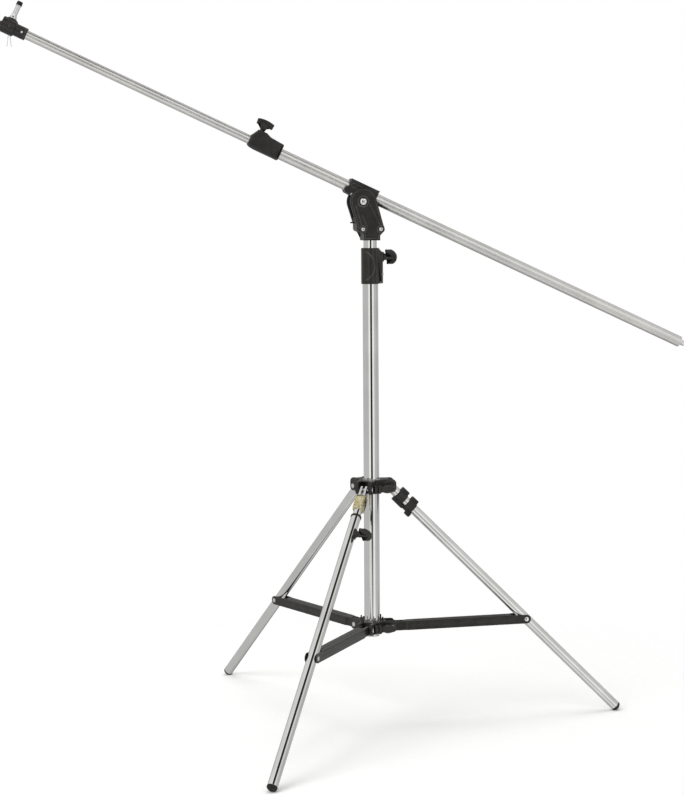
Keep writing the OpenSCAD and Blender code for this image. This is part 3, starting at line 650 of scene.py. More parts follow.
def leaf_knob(name, node, joint):
    """A pointed lever on a clamp screw that lies across the casting."""
    axis = joint_axis(joint)
    where = place(joint_point(joint), axis.cross(Vector((0, 0, 1))), axis)
    half = [(0, 46.4), (3.4, 43.5), (6.4, 38), (8.6, 31), (9.4, 25), (8.8, 18.5), (5.2, 12.5)]
    leaf = half + [(-z, y) for z, y in half[:0:-1]]
    leaf = wound(rounded(leaf, [2.2] + [9] * (len(leaf) - 1), 4))
    hollow = inset(leaf, 1.9)
    blade = carve(prism(leaf, -3.6, 3.6, 1.4, 4), cuts=[prism(hollow, -5, -2.7), prism(hollow, 2.7, 5)])
    blade = [(p[1], p[2], p[0]) for p in blade[0]], blade[1]
    spine = lathe([(0, 13), (5.2, 13), (5.0, 20), (4.6, 28), (3.9, 36), (2.6, 41), (0, 42.6)], "Y", 32)
    screw = disc(3, -8, 14, 0.4, "Y", 32)
    piece(name, node, carve(blade, adds=[spine, disc(6.6, 9.6, 17.5, 1.2, "Y"), screw]), where)


def leaning(first, second, angle):
    """A direction turned by some degrees from one towards another at right angles to it."""
    return first * cos(radians(angle)) + second * sin(radians(angle))


def knobs():
    leaf_knob("hub_lever", "hub_lock_knob", "hub_knob_turn")
    leaf_knob("spider_lever", "spider_lock_knob", "spider_knob_turn")
    down = Vector((0, 0, -1))
    way = leaning(down, joint_axis("riser_knob_turn").cross(down), 46)
    piece("riser_knob", "riser_lock_knob", wing(21, 29, 4.5), knob_place("riser_knob_turn", way))

    across = HEAD.to_3x3().normalized() @ Vector((1, 0, 0))
    way = leaning(across, joint_axis("tilt_handle_turn").cross(across), 35)
    seat = Matrix.Translation((0, 0, local_box("tilt_handle", HEAD)[0].y))
    piece("tilt_wing", "tilt_handle", wing(24, 30, 5), knob_place("tilt_handle_turn", way) @ seat)

    top = arc((0, -41), 66.5, 107.3, 72.7, 14)
    under = [(18.6, 9.2), (10.5, 13), (7.6, 9), (5, 0), (-5, 0), (-7.6, 9), (-10.5, 13), (-18.6, 9.2)]
    radii = [2.2] + [0] * (len(top) - 2) + [2.2] + [2, 5, 6, 0.6, 0.6, 6, 5, 2]
    cap = prism(rounded(top + under, radii), -6, 6, 2.2, 4)
    stem = lathe([(0, 0), (5.4, 0), (6.2, 5), (7.8, 12), (7.8, 16), (0, 16)], "Z", 48)
    knob = knob_place("boom_knob_turn", BOOM.to_3x3() @ Vector((1, 0, 0)))
    piece("boom_knob", "boom_lock_knob", carve(cap, adds=[stem]), knob)


# ---------- column collar ----------

def column_parts():
    column_collar()
    column_plug()


def column_collar():
    """Cast clamp collar at the column's mouth, with its boss, its two thumb ridges and its screw."""
    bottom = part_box("riser_collar")[0].z
    axis = joint_axis("riser_knob_turn")
    where = place((0, 0, bottom), axis, Vector((0, 0, 1)).cross(axis))
    tall = local_box("riser_collar", where)[1].z
    knob_z = (joint_point("riser_knob_turn").z - bottom) / MM
    screw_z = 22
    body = lathe([(0, 0), (19.0, 0)] + arc((18.9, 1.6), 1.6, -60, 0, 4) + [(20.4, tall * 0.5)] +
                 arc((18.3, tall - 2.2), 2.2, 0, 80, 5) + [(0, tall)], "Z", 96)
    side = [(0, 1.2), (27.6, 1.2), (28, 3), (28, tall - 15), (25.5, tall - 8.5), (19.5, tall - 2),
            (0, tall - 2)]
    boss = prism(rounded(side, [0, 1.5, 1, 5, 4, 4, 0], 5), -13, 13, 5.5, 6)
    profile = [(0, 10), (13, 10), (12.2, 25), (11.2, 28.5), *arc((9.6, 29.4), 1.6, 0, 90, 4), (0, 31)]
    nose = lathe(profile, "X", 48)
    ridges = []
    for start, end in ((-24, -10), (10, 24)):
        ring = moved(pipe(36.8, 34.4, start, end, 0.3, "Y", 120), -22.4, 0, 40.5)
        shell = disc(21.7, 8, tall - 8, 0.8, "Z", 96)
        ridges.append(carve(ring, keeps=[shell, cutter((-9.5, 22), (start, end), (6, tall - 6))]))
    cuts = [rod(17.55, -1, tall - 8, "Z", 96), rod(15.1, tall - 10, tall + 1, "Z", 96),
            moved(rod(4.05, 8, 33, "X"), z=knob_z), moved(rod(2.55, 18, 29, "X"), z=screw_z)]
    cuts += [moved(rod(1.0, 10, tall - 26, "Z", 16), 28.6, y) for y in (-8.5, 8.5)]
    shape = carve(body, adds=[boss, moved(nose, z=knob_z), *ridges], cuts=cuts)
    piece("column_collar", "riser_collar", shape, where)
    screw = carve(rod(2.5, 20.5, 28.4, "X"), adds=[dome_head(4, 28.1, 30.1, "X")],
                  cuts=[cutter((29.3, 31), (-0.5, 0.5), (-3, 3))])
    piece("column_collar_screw", "riser_collar_screw", moved(screw, z=screw_z), where)


def column_plug():
    """Zinc plug with a dozen notches round its rim."""
    low, high = local_box("tube_plug", STAND)
    steps = [(0, 0), (12.5, 0), (15.6, 0.4), (16.4, 1.0), (16.4, 2.0), (15.9, 2.4), (15.3, 2.7), (15.3, 6.3),
             (15.9, 6.5)]
    profile = [(r, low.z + z) for r, z in steps] + [(15.9, high.z), (0, high.z)]
    notch = moved(rod(1.4, low.z - 1, low.z + 3.5, "Z", 16), 16.9)
    cuts = [turned(notch, angle) for angle in range(0, 360, 30)]
    cuts.append(rod(7, low.z - 1, low.z + 0.8, "Z", 48))
    piece("column_plug", "tube_plug", carve(lathe(profile, "Z", 96), cuts=cuts), STAND)


def dome_head(radius, low, high, axis="Y", steps=40):
    """A low domed head that faces the high end."""
    tall = high - low
    crown = [(radius * cos(a), low + tall * (0.35 + 0.65 * sin(a)))
             for a in (pi / 2 * k / 8 for k in range(9))]
    crown[-1] = (0, high)
    profile = [(0, low), (radius * 0.96, low), (radius, low + tall * 0.12)] + crown
    return lathe(profile, axis, steps)


# ---------- castings of the legs and the braces ----------

def casting(name, node, bore, bridged):
    """A cast collar with three yokes and a split clamp; when bridged, its yokes are closed at the top."""
    low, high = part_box(node)
    where = place((0, 0, low.z), (1, 0, 0), (0, 1, 0))
    nib_tall = 0 if bridged else 10
    tall = (high.z - low.z) / MM - nib_tall
    pin_z = ((HINGE_Z if bridged else HUB_Z) - low.z) / MM
    screw_z = (joint_point("spider_knob_turn" if bridged else "hub_knob_turn").z - low.z) / MM
    pin_r, web_end, mouth, web = (43.5, 39.6, 28.3, 3.2) if bridged else (43, 30, 30.2, 4)
    mouth_top = tall - web if bridged else tall + 2
    profile = [(0, 0), (27.2, 0), (27.5, tall - 5), (28.6, tall - 4), (28.6, tall), (0, tall)]
    body = lathe(rounded(profile, [0, 1.4, 0.6, 0.6, 1.0, 0]), "Z", 96)
    adds, cuts = [], []
    ear = rectangle(16, 54, 0.4, tall, [2, 9.5, 9.5, 2], 7)
    panel = rectangle(29, 50.4, 3.6, tall - 3.6, [3, 6.5, 6.5, 3], 5)
    for side in LEG:
        angle = degrees(leg_turn(side))
        for s in (-1, 1):
            adds.append(turned(slab(s, ear, 11.5, 19, 1.5, 4), angle))
            ring = moved(rod(6.8, *sorted((s * 17.1, s * 22)), "Y", 48), pin_r, 0, pin_z)
            cuts.append(turned(carve(slab(s, panel, 18.1, 21), cuts=[ring]), angle))
        adds.append(turned(block((20, web_end), (-13, 13), (tall - web, tall), 0.6, 1.2), angle))
        cuts.append(turned(cutter((mouth, 60), (-11.5, 11.5), (-1, mouth_top)), angle))
        cuts.append(turned(moved(rod(3.02, -22, 22), pin_r, 0, pin_z), angle))
        if nib_tall:
            nib = block((24.5, 27.5), (-1.5, 1.5), (tall - 3, tall + nib_tall), 0.5, 1.2)
            adds += [turned(nib, angle + off) for off in (-34, 34)]
    lug = rectangle(16, 45, screw_z - 9.5, screw_z + 9.5, [2, 7, 7, 2], 6)
    swell = rectangle(20, 40, screw_z - 7, screw_z + 7, [2, 5, 5, 2], 5)
    for s in (-1, 1):
        adds.append(turned(slab(s, lug, 1, 8.2, 1.3), CLAMP_SIDE))
        adds.append(turned(slab(s, swell, 1, 9.2, 1.2), CLAMP_SIDE))
    cuts.append(turned(cutter((10, 50), (-1, 1), (-1, tall + 1)), CLAMP_SIDE))
    cuts.append(turned(moved(rod(3.05, -15, 15), 36, 0, screw_z), CLAMP_SIDE))
    cuts.append(rod(bore, -1, tall + 1, "Z", 96))
    piece(name, node, carve(body, adds=adds, cuts=cuts), where)


def pin_heads(half, gap=None):
    """A pin across a yoke with two domed heads, or two stubs that leave a gap between them."""
    heads = [dome_head(5, s * (half + 0.03), s * (half + 1.63)) for s in (-1, 1)]
    if gap is None:
        return carve(rod(2.95, -half - 0.5, half + 0.5), adds=heads)
    stubs = [disc(2.95, *sorted((s * gap, s * (half + 0.5))), 0.3, "Y", 32) for s in (-1, 1)]
    return together(*[carve(stub, adds=[head]) for stub, head in zip(stubs, heads)])


def castings():
    """Spider and hub, with the pins of their yokes."""
    casting("spider", "spider_collar", 19.0, True)
    casting("hub", "lower_hub", 17.55, False)
    hub = [carried(pin_heads(19), BRACE[side], STAND) for side in BRACE]
    piece("hub_pin_set", "hub_pins", together(*hub), STAND)
    spider = [carried(pin_heads(19, 11.5), LEG[side], STAND) for side in LEG]
    piece("spider_pin_set", "spider_pins", together(*spider), STAND)


# ---------- braces ----------

def channel_ring(x, half, top, foot, wall, bend):
    """A folded channel section that opens downwards, at one place along X."""
    inner = half - wall
    outline = [(half, foot), (half, top), (-half, top), (-half, foot), (-inner, foot), (-inner, top - wall),
               (inner, top - wall), (inner, foot)]
    radii = [0.5, bend, bend, 0.5, 0.5, bend - wall + 0.6, bend - wall + 0.6, 0.5]
    return [(x, y, z) for y, z in rounded(outline, radii, 5)]


def braces():
    """Channels that widen beside the hub's ears, with rolled beads, and the rivets at their far ends."""
    wide, neck, end_r = 13.6, 11.1, 10
    for side, where in BRACE.items():
        length = (joint_point(f"{side}_leg_hinge") - joint_point(f"{side}_brace_hinge")).length / MM
        widths = ((8, neck), (30, neck), (33, neck + 0.4), (37, wide - 0.5), (40, wide), (length - 31, wide))
        body = loft([channel_ring(x, half, end_r, -end_r, 2, 3.2) for x, half in widths])
        near_end = [(12, end_r), (12, -end_r)] + arc((0, 0), end_r, 270, 90, 20)
        far_end = [(length - 33, -end_r)] + arc((length, 0), end_r, -90, 90, 20) + [(length - 33, end_r)]
        side_bead = rectangle(46, length - 30, -1.7, 1.7, 1.65, 5)
        adds = []
        for s in (-1, 1):
            adds.append(slab(s, near_end, neck - 2, neck, 0.5))
            adds.append(slab(s, far_end, wide - 2, wide, 0.5))
            adds.append(slab(s, side_bead, wide - 1, wide + 0.7, 0.6))
        adds.append(prism(rectangle(52, length - 46, -2.6, 2.6, 2.5, 6), 9, 10.7, 0.6, 3, "Z"))
        notch = [(length - back, y) for back, y in ((42, 0), (29, -8.5), (25, -8.5), (25, 8.5), (29, 8.5))]
        cuts = [prism(rectangle(4, 27, -6.5, 6.5, 3, 5), 6, 12, 0, 3, "Z"),
                prism(rounded(notch, [4, 1, 0, 0, 1], 5), 6, 12, 0, 3, "Z"),
                rod(3.02, -16, 16), moved(rod(3.02, -16, 16), length)]
        piece(f"{side}_brace_channel", f"{side}_brace", carve(body, adds=adds, cuts=cuts), where)
        if side == "front":
            rivets = moved(pin_heads(wide, leg_clearance()), length)
            piece("front_brace_rivet_pair", "front_brace_rivets", rivets, where)
        else:
            piece(f"{side}_brace_rivet_pin", f"{side}_brace_rivet", moved(pin_heads(wide), length), where)


def leg_clearance():
    """Half the gap between the stub rivets, which stand beside the levelling leg's tube."""
    low, high = local_box("level_outer_tube", LEG["front"])
    return (high.y - low.y) / 2 + 0.6


def leg_clip():
    """Two C bands with thick mouths, joined by a bridge on the side that faces the column."""
    where = LEG["right"]
    low, high = local_box("leg_clip", where)
    start = low.x
    adds, cuts = [], []
    for x0, x1 in ((start, start + 23), (start + 31, start + 52)):
        adds.append(lathe(rectangle(10, 14, x0, x1, [0, 2, 2, 0], 4), "X", 72, ring=True))
        adds.append(block((x0 + 1, x1 - 2), (-8.5, 8.5), (10.5, high.z), 2, 2.2))
        cuts += [pipe(18, 13.5, at, at + 1.2, 0.1, "X", 72) for at in (x0 + 7, x1 - 8.2)]
        cuts.append(cutter((x0 - 1, x1 + 1), (-1.2, 1.2), (8, high.z + 3)))
    adds.append(block((start + 1, start + 31), (-9, 9), (-18.5, -10.5), 1.6, 2.2))
    adds.append(block((start + 19, start + 45), (-7, 7), (-16.5, -10.5), 1.4, 2))
    adds.append(block((start + 43, start + 57), (-6, 6), (low.z, -10.8), 2, 3))
    cuts.append(rod(11.02, start - 20, start + 80, "X", 72))
    piece("leg_spring_clip", "leg_clip", carve(adds[0], adds=adds[1:], cuts=cuts), where)


# ---------- tilt head ----------

def touch(centre, radius, point, side):
    """Where a line from the point touches a circle."""
    away = Vector(point) - Vector(centre)
    angle = atan2(away.y, away.x) + side * acos(radius / away.length)
    return centre[0] + radius * cos(angle), centre[1] + radius * sin(angle)


def head_outline(foot, pivot, gap):
    """Side view of a cheek, gap inside its rim: a disc round the pivot, straight flanks and a foot."""
    radius = 30 - gap
    right, left = (28 - gap, foot + 28), (-34.7 + gap, foot + 36)
    first, last = touch(pivot, radius, right, 1), touch(pivot, radius, left, -1)
    start = degrees(atan2(first[1] - pivot[1], first[0] - pivot[0]))
    end = degrees(atan2(last[1] - pivot[1], last[0] - pivot[0])) % 360
    crown = arc(pivot, radius, start, end, 40)
    corners = [left, (-34.7 + gap, foot + 25 + gap), (-31 + gap, foot + 20.5 + gap),
               (-22 + gap, foot + 18.5 + gap), (-18.7 + gap, foot + 13), (-18.7 + gap, foot + gap),
               (18.7 - gap, foot + gap), (18.7 - gap, foot + 11), (28 - gap, foot + 21), right]
    return rounded(crown + corners, [0] * len(crown) + [6, 2, 3, 3, 3, 1, 1, 3, 5, 8], 4)


def rib(a, b, width, y0, y1):
    """A straight rib between two points of the side view, narrower at its far end."""
    way = (Vector(b) - Vector(a)).normalized()
    side = Vector((-way.y, way.x)) * width / 2
    ends = [Vector(a) - side, Vector(b) - side * 0.5, Vector(b) + side * 0.5, Vector(a) + side]
    return prism(rounded([tuple(p) for p in ends], width * 0.2, 3), y0, y1, 0.3)


def rounds(side, places, radius, near, far, sides, edge=0.0):
    """Round slabs at places of the side view."""
    one = slab(side, polygon(radius, sides), near, far, edge)
    return [moved(one, x, 0, z) for x, z in places]


def tilt_head():
    """Two bolted cheeks with recessed panels and ribs, their bolts, the pivot bolt and the catch pin."""
    foot = local_box("head_front", HEAD)[0].z
    centre = back_to(HEAD, joint_point("boom_tilt"))
    pivot, bolts = (centre.x, centre.z), ((-20.3, foot + 25), (20.3, foot + 25))
    lump = [(-18.7, 0), (18.7, 0), (18.7, 11), (28, 21), (28, 32), (2, 52), (-34.7, 54), (-34.7, 25),
            (-31, 20.5), (-22, 18.5), (-18.7, 13)]
    lump = rounded([(x, foot + z) for x, z in lump], [1, 1, 3, 5, 3, 6, 2, 2, 3, 3, 3])
    lines = [((pivot[0] + 15.5, pivot[1] - 8), (bolts[1][0] - 3, bolts[1][1] + 11)),
             ((pivot[0] - 2.5, pivot[1] - 31), (bolts[0][0] + 10.5, bolts[0][1] + 5)),
             ((pivot[0] - 16.5, pivot[1] - 9), (bolts[0][0] - 3.5, bolts[0][1] + 10))]
    for end, s in (("front", -1), ("rear", 1)):
        cheek = slab(s, head_outline(foot, pivot, 0), 18, 27, 2.2, 5)
        adds = [slab(s, lump, 0.15, 26.6, 1.0), *rounds(s, [pivot], 12.6, 15, 27, 40, 0.5),
                *rounds(s, bolts, 8.6, 15, 27, 40, 0.5)]
        islands = rounds(s, [pivot], 12.6, 20, 30, 40) + rounds(s, bolts, 8.6, 20, 30, 40)
        recess = carve(slab(s, head_outline(foot, pivot, 4.2), 25.7, 29), cuts=islands)
        shaped = carve(cheek, adds=adds, cuts=[recess])

        ribs = [rib(a, b, 2.6, *sorted((s * 25.2, s * 27.0))) for a, b in lines]
        cuts = [rod(15.05, foot - 1, foot + 36, "Z", 72)]
        cuts += rounds(s, [pivot], 10.4, 23.6, 32, 36) + rounds(s, bolts, 6.6, 24.6, 32, 36)
        cuts += rounds(s, [pivot], 5.05, -1, 40, 36) + rounds(s, bolts, 2.55, -1, 40, 36)
        for start in (6, 10, 14):
            cuts.append(cutter((-36, -34.1), sorted((s * start, s * (start + 1.6))), (foot + 27, foot + 52)))
        if s > 0:
            cuts.append(at_catch_pin(rod(1.85, -38, -17.5, "X", 24)))
        piece(f"head_half_{end}", f"head_{end}", carve(shaped, adds=ribs, cuts=cuts), HEAD)

    bolt = carve(rod(2.5, -27, 27), adds=[dome_head(4.6, -26.0, -29.4), hexagon(4.8, 27, 30.4)],
                 cuts=[rod(2.2, -31, -28.2, "Y", 6)])
    piece("head_bolt_pair", "head_bolts", together(*[moved(bolt, x, 0, z) for x, z in bolts]), HEAD)

    bar = block((-4.6, 4.6), (-31, -27.4), (-0.9, 0.9), 0, 0.4)
    pin = carve(disc(4.98, -24, 43, 0.4, "Y"), adds=[dome_head(8, -24.4, -29.2)],
                cuts=[turned(bar, angle, "Y") for angle in (45, 135)])
    piece("tilt_pivot_bolt", "tilt_bolt", moved(pin, pivot[0], 0, pivot[1]), HEAD)

    low, high = local_box("catch_pin", HEAD)
    profile = [(0, low.x), (1.2, low.x), (1.8, low.x + 0.6), (1.8, low.x + 3), (1.5, low.x + 3.3),
               (1.5, low.x + 4), (1.8, low.x + 4.3), (1.8, high.x - 0.5), (1.3, high.x), (0, high.x)]
    piece("catch_rod", "catch_pin", at_catch_pin(lathe(profile, "X", 24)), HEAD)


def at_catch_pin(shape):
    low, high = local_box("catch_pin", HEAD)
    return moved(shape, 0, (low.y + high.y) / 2, (low.z + high.z) / 2)


def back_to(where, point):
    return where.inverted() @ point


def hexagon(radius, low, high):
    return prism(rounded(polygon(radius, 6), 0.5, 2), low, high, 0.5, 2)


def boom_clamp():
    """Two halves with a hub, a rail along the boom and a shallow dish, and the screw through their tail."""
    top = BOOM_RISE + 17.8
    side = [(-43, 22), (-43, top), (25, top), (26, BOOM_RISE + 6), (23, 4), (6, 1), (-30, 1.5),
            (-45, 2.5), (-50, 8), (-49, 15), (-43, 19)]
    outline = rounded(side, [2, 1.5, 1.5, 3, 4, 4, 4, 3, 3, 3, 2])
    rail = rectangle(-44, 26, BOOM_RISE + 14.6, BOOM_RISE + 18, 1)
    dish = rectangle(-39, -12, BOOM_RISE + 1, BOOM_RISE + 9.5, 2)
    tail = (-30, 0, 4.2)
    for end, s in (("front", -1), ("rear", 1)):
        adds = [slab(s, polygon(17, 40), 0.3, 17.4, 1.0), slab(s, rail, 0.3, 17.9, 0.6)]
        cuts = [moved(rod(12.55, -70, 60, "X", 96), z=BOOM_RISE), rod(5.1, -20, 20, "Y", 40),
                slab(s, dish, 16.6, 19), moved(rod(2.05, -20, 20, "Y", 24), *tail)]
        half = carve(slab(s, outline, 0.3, 17.4, 1.4), adds=adds, cuts=cuts)
        piece(f"clamp_half_{end}", f"boom_clamp_{end}", half, CLAMP)
    screw = carve(rod(2, -17, 17, "Y", 24), adds=[dome_head(2.7, -16.9, -17.7)])
    piece("clamp_screw", "boom_clamp_screw", moved(screw, *tail), CLAMP)


# ---------- boom ----------

def boom_parts():
    """The collar between the two boom tubes with its screw, and the stud on the boom's rear end."""
    tube_start, tube_end = (corner.x for corner in local_box("boom_outer_tube", BOOM))
    x0, x1 = (corner.x for corner in local_box("boom_collar", BOOM))
    knob_x = back_to(BOOM, joint_point("boom_knob_turn")).x
    screw_x = x1 - 16
    side = [(x0, -12.6), (x1 - 1, -16.2), (x1, -14), (x1, 19.5), (x1 - 1.5, 21.2), (x0 + 42, 23.8),
            (x0 + 30, 28.6), (x0 + 11, 28.6), (x0 + 0.4, 10.5)]
    shell = prism(rounded(side, [6, 5, 5, 5, 5, 9, 6, 6, 6], 6), -17.4, 17.4, 4.8, 6)
    barrel = lathe([(0, x0), (11.6, x0), (13.2, x0 + 1.2), (15.4, x0 + 7), (16.6, x0 + 18), (16.6, x1 - 5),
                    (16.2, x1 - 1.8), (15.4, x1), (0, x1)], "X", 96)
    nose = lathe([(0, 10), (11, 10), (9.8, 26), (9.2, 28.6), (8.6, 29), (0, 29)], "Z", 48)
    cuts = [rod(12.52, tube_start, x1 + 1, "X", 96), rod(10.1, x0 - 1, x1, "X", 96),
            moved(rod(4.05, 8, 32, "Z"), knob_x), moved(rod(2.05, -22, -11, "Y", 24), screw_x),
            moved(rod(4.4, -22, -16.4), screw_x)]
    collar = carve(shell, adds=[barrel, moved(nose, knob_x)], cuts=cuts)
    piece("boom_joint_collar", "boom_collar", collar, BOOM)
    screw = carve(rod(2, -16.6, -12.7, "Y", 24), adds=[dome_head(4.2, -16.2, -17.5)],
                  cuts=[rod(1.5, -21, -16.9, "Y", 6)])
    piece("boom_collar_bolt", "boom_collar_screw", moved(screw, screw_x), BOOM, SLOTS["black_steel"])

    low, high = local_box("boom_end_cap", BOOM)
    flange = [(10.9, 0), (12.1, 0.05), (12.5, 0.6), (12.5, 2.2), (11.7, 2.9), (6.6, 3.1), (6.0, 3.9),
              (6.0, 5.4), (5.4, 5.9), (5.4, 6.7), (6.0, 7.2)]
    nose = [(6.0, -3.4), (5.6, -1.7), (4.4, -0.5), (2.6, 0), (0, 0)]
    profile = [(0, low.x), (10.6, low.x), (10.9, low.x + 0.6)]
    profile += [(r, tube_end + x) for r, x in flange] + [(r, high.x + x) for r, x in nose]
    piece("boom_end_stud", "boom_end_cap", lathe(profile, "X", 72), BOOM)


def end_fitting():
    """Socket on the inner boom's end, the spigot with its rubber cap, a set screw and the hairpin wire."""
    spigot_low, spigot_high = local_box("spigot", BOOM)
    spigot_x = (spigot_low.x + spigot_high.x) / 2 + 3.5
    tip = local_box("spigot_socket", BOOM)[0].x
    x0 = tip + 4
    screw_x = x0 + 48
    tube_start = local_box("boom_inner_tube", BOOM)[0].x
    drum = [(0, 0), (17.6, 0), (17.6, 31), (14.2, 33), (13.7, 34.5), (13.7, 59), (0, 59)]
    body = lathe(rounded([(r, x0 + x) for r, x in drum], [0, 2, 2.2, 1.0, 1, 1.5, 0], 5), "X", 96)
    pip = lathe([(0, tip), (4, tip), (5, tip + 1), (5.4, x0 + 1), (0, x0 + 1)], "X", 40)
    cross_hole = rod(1.1, -20, 20, "Y", 16)
    cuts = [rod(10.02, tube_start, x0 + 60, "X", 72), moved(rod(6.03, 0, 32, "Z", 48), spigot_x),
            pipe(20, 13.4, x0 + 54.4, x0 + 55.4, 0.1, "X", 72), moved(rod(2.05, -16, -9, "Y", 24), screw_x),
            moved(cross_hole, spigot_x)]
    socket = carve(body, adds=[pip, moved(disc(11, 8, 19, 1.2), spigot_x)], cuts=cuts)
    piece("end_socket", "spigot_socket", socket, BOOM)

    base, top = 19.1, spigot_high.z + 1.5
    profile = [(0, 0.5), (5.98, 0.5), (5.98, base), (8.4, base), (8.4, base + 2.5), (6.6, base + 6),
               (5.7, base + 11), (5.7, top - 3), (6.3, top - 1.6), (6.3, top), (0, top)]
    profile = rounded(profile, [0, 0, 0, 0.8, 1.2, 3, 3, 0.8, 0.6, 0.4, 0], 4)
    piece("spigot_stud", "spigot", moved(carve(lathe(profile), cuts=[cross_hole]), spigot_x), BOOM)

    low, high = local_box("spigot_cap", BOOM)
    profile = [(0, low.z), (7, low.z), (7, low.z + 1.3), (6.5, low.z + 1.8), (6.3, high.z - 2),
               *arc((4.3, high.z - 2), 2, 0, 85, 5), (0, high.z)]
    grip = moved(rod(0.5, low.z + 2.4, high.z - 1, "Z", 10), 6.6)
    cap = carve(lathe(profile, "Z", 48), cuts=[turned(grip, angle) for angle in range(0, 360, 20)])
    piece("spigot_rubber_cap", "spigot_cap", moved(cap, spigot_x, 0, 1.5), BOOM)

    screw = carve(rod(2, -13.6, -10.2, "Y", 24), adds=[dome_head(2.5, -13.5, -15)],
                  cuts=[rod(1.1, -16, -14.4, "Y", 6)])
    piece("end_socket_screw", "socket_screw", moved(screw, screw_x), BOOM)

    drop = (BOOM.to_3x3().inverted() @ Vector((0, 0, -1))).normalized()
    aside = drop.cross(Vector((0, 1, 0)))
    depths = (43, 39, 34, 29, 24, 19, 15, 13)
    path = []
    for s, order in ((-1, depths), (1, depths[::-1])):
        for depth in order:
            part = depth / depths[0]
            splay = aside * s * (1.2 + 3.6 * part ** 2) + Vector((0, 5 * s * part, 0))
            path.append(tuple(splay + drop * depth))
    wire = sweep(path, 0.7)
    piece("hairpin_wire", "retaining_clip", moved(wire, spigot_x), BOOM)


tubes()
leg_ends()
levelling_head()
knobs()
column_parts()
castings()
braces()
leg_clip()
tilt_head()
boom_clamp()
boom_parts()
end_fitting()


# ---------- studio ----------

# Azimuths are in degrees from the front towards +X: start, end, softness, amount
WHITE_PANELS = [(-32, -4, 3, 0.45), (20, 52, 4, 0.42)]
DIM_SIDES = [(150, 190, 12, 0.35), (-190, -150, 12, 0.25), (95, 112, 6, 0.12)]
FRONT_GAP_SIDES = (-5, 22)
FRONT_GAP_HEIGHT = (-11, 5)
# Two directions on the long gap between the panels overhead, and its half width
OVERHEAD_FROM = Vector((0.297, -0.219, 0.933))
OVERHEAD_TO = Vector((0.253, -0.415, 0.870))
OVERHEAD_HALF = 0.40


def studio_world():
    """Even white surround; reflections see grey sides, white panels and two dark gaps in it."""
    world = bpy.data.worlds.new("studio")
    bpy.context.scene.world = world
    world.use_nodes = True
    tree = world.node_tree
    tree.nodes.clear()

    def add(kind, links=None, **settings):
        return add_node(tree, kind, links, **settings)

    def maths(operation, first, second=0.0):
        return add("ShaderNodeMath", {0: first, 1: second}, operation=operation).outputs[0]

    def window(value, start, end, soft):
        """1 between start and end, fading to 0 over soft on each side."""
        steps = []
        for edge in (start, end):
            links = {"Value": value, "From Min": edge - soft, "From Max": edge + soft}
            steps.append(add("ShaderNodeMapRange", links, interpolation_type="SMOOTHSTEP").outputs[0])
        return maths("SUBTRACT", *steps)

    direction = add("ShaderNodeTexCoord").outputs["Generated"]
    axes = add("ShaderNodeSeparateXYZ", {0: direction})
    x, y, z = (axes.outputs[i] for i in range(3))
    azimuth = maths("DEGREES", maths("ARCTAN2", x, maths("MULTIPLY", y, -1.0)))
    height = maths("DEGREES", maths("ARCSINE", z))

    level = maths("ADD", maths("MULTIPLY", window(height, 25, 91, 18), 0.22), 0.60)
    for operation, parts in (("ADD", WHITE_PANELS), ("SUBTRACT", DIM_SIDES)):
        for start, end, soft, amount in parts:
            level = maths(operation, level, maths("MULTIPLY", window(azimuth, start, end, soft), amount))
    gap = maths("MULTIPLY", window(azimuth, *FRONT_GAP_SIDES, 1.2), window(height, *FRONT_GAP_HEIGHT, 2.5))
    overhead = overhead_gap(add, maths, window, direction)
    dark = maths("MAXIMUM", gap, overhead)
    level = maths("MULTIPLY", level, maths("SUBTRACT", 1.0, maths("MULTIPLY", dark, 0.97)))

    seen = add("ShaderNodeBackground", {"Color": (1, 1, 1, 1), "Strength": 1.0})
    lit = add("ShaderNodeBackground", {"Color": (1.0, 0.995, 0.985, 1), "Strength": level})
    camera_ray = add("ShaderNodeLightPath").outputs["Is Camera Ray"]
    mix = add("ShaderNodeMixShader", {0: camera_ray, 1: lit.outputs[0], 2: seen.outputs[0]})
    add("ShaderNodeOutputWorld", {"Surface": mix.outputs[0]})


def overhead_gap(add, maths, window, direction):
    """1 within the long gap overhead, which the leg and column tubes mirror as a dark stripe."""
    normal = OVERHEAD_FROM.cross(OVERHEAD_TO).normalized()
    middle = (OVERHEAD_FROM + OVERHEAD_TO).normalized()
    across = add("ShaderNodeVectorMath", {0: direction, 1: normal}, operation="DOT_PRODUCT").outputs["Value"]
    near = add("ShaderNodeVectorMath", {0: direction, 1: middle}, operation="DOT_PRODUCT").outputs["Value"]
    length = window(near, 0.935, 1.1, 0.015)
    return maths("MULTIPLY", window(across, -OVERHEAD_HALF, OVERHEAD_HALF, 0.03), length)


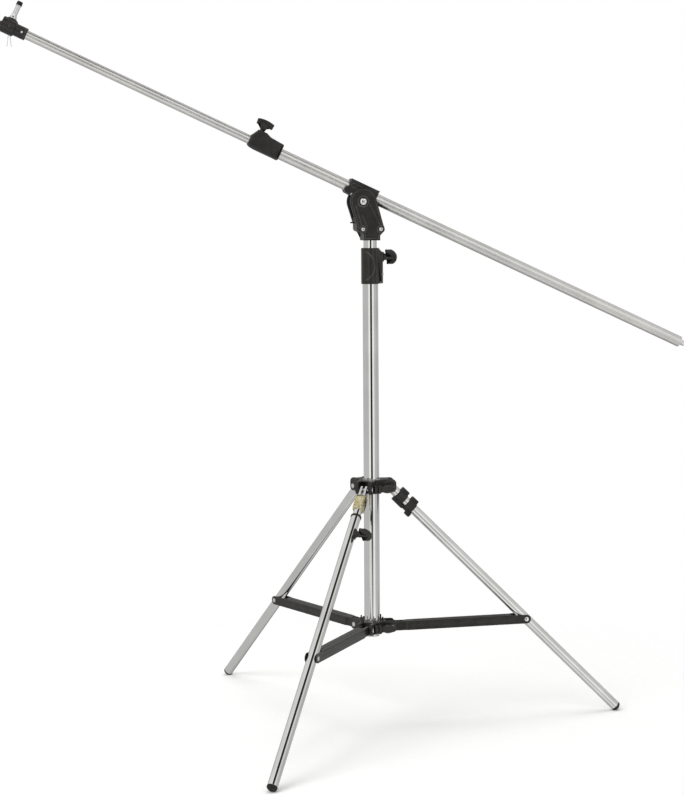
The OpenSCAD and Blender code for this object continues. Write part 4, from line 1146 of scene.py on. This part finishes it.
def floor():
    """White paper that fades out round the stand, so that it has no horizon."""
    size = 30
    mesh = bpy.data.meshes.new("floor")
    corners = [(-size, -size, 0), (size, -size, 0), (size, size, 0), (-size, size, 0)]
    mesh.from_pydata(corners, [], [(0, 1, 2, 3)])
    ground = bpy.data.objects.new("floor", mesh)
    bpy.context.scene.collection.objects.link(ground)
    paper = Recipe("floor_paper", Roughness=0.9)
    fibre = paper.noise(60.0, 6.0)
    shade = paper.blend(paper.remap(fibre, 0, 1), (0.93,) * 3, (0.95,) * 3)
    distance = paper.add("ShaderNodeVectorMath", {0: paper.place}, operation="LENGTH").outputs["Value"]
    links = {"Value": distance, "From Min": 0.55, "From Max": 1.35}
    fade = paper.add("ShaderNodeMapRange", links, interpolation_type="SMOOTHSTEP").outputs[0]
    solid_part = paper.add("ShaderNodeMath", {0: 1.0, 1: fade}, operation="SUBTRACT").outputs[0]
    paper.feed(Base_Color=shade, Alpha=solid_part)
    mesh.materials.append(paper.material)
    ground.visible_glossy = False


def softbox(name, spot, target, size, watts):
    light = bpy.data.lights.new(name, "AREA")
    light.shape = "RECTANGLE"
    light.size, light.size_y = size
    light.energy = watts
    lamp = bpy.data.objects.new(name, light)
    lamp.location = spot
    lamp.rotation_euler = (Vector(target) - Vector(spot)).to_track_quat("-Z", "Y").to_euler()
    lamp.visible_glossy = False
    bpy.context.scene.collection.objects.link(lamp)


def camera():
    """Long lens, a little above the middle of the stand, looking slightly down and rolled a little."""
    spot = Vector((-0.0046, -4.3103, HINGE_Z + 0.624))
    yaw, pitch, roll = 0.013684, radians(2.0), -0.006216
    level_turn = Matrix.Rotation(yaw, 4, "Z") @ Matrix.Rotation(radians(90) - pitch, 4, "X")
    data = bpy.data.cameras.new("camera")
    data.sensor_width = 36
    data.lens = 86.857
    data.shift_y = -0.1508
    data.clip_end = 200
    eye = bpy.data.objects.new("camera", data)
    eye.matrix_world = Matrix.Translation(spot) @ level_turn @ Matrix.Rotation(roll, 4, "Z")
    bpy.context.scene.collection.objects.link(eye)
    bpy.context.scene.camera = eye


studio_world()
floor()
softbox("key", (-2.6, -2.4, 3.4), (0, 0, 0.7), (2.4, 2.4), 70)
softbox("top", (0.4, 0.6, 4.2), (0.1, 0, 0), (3.0, 3.0), 60)
camera()
bpy.context.scene.view_settings.view_transform = "Standard"
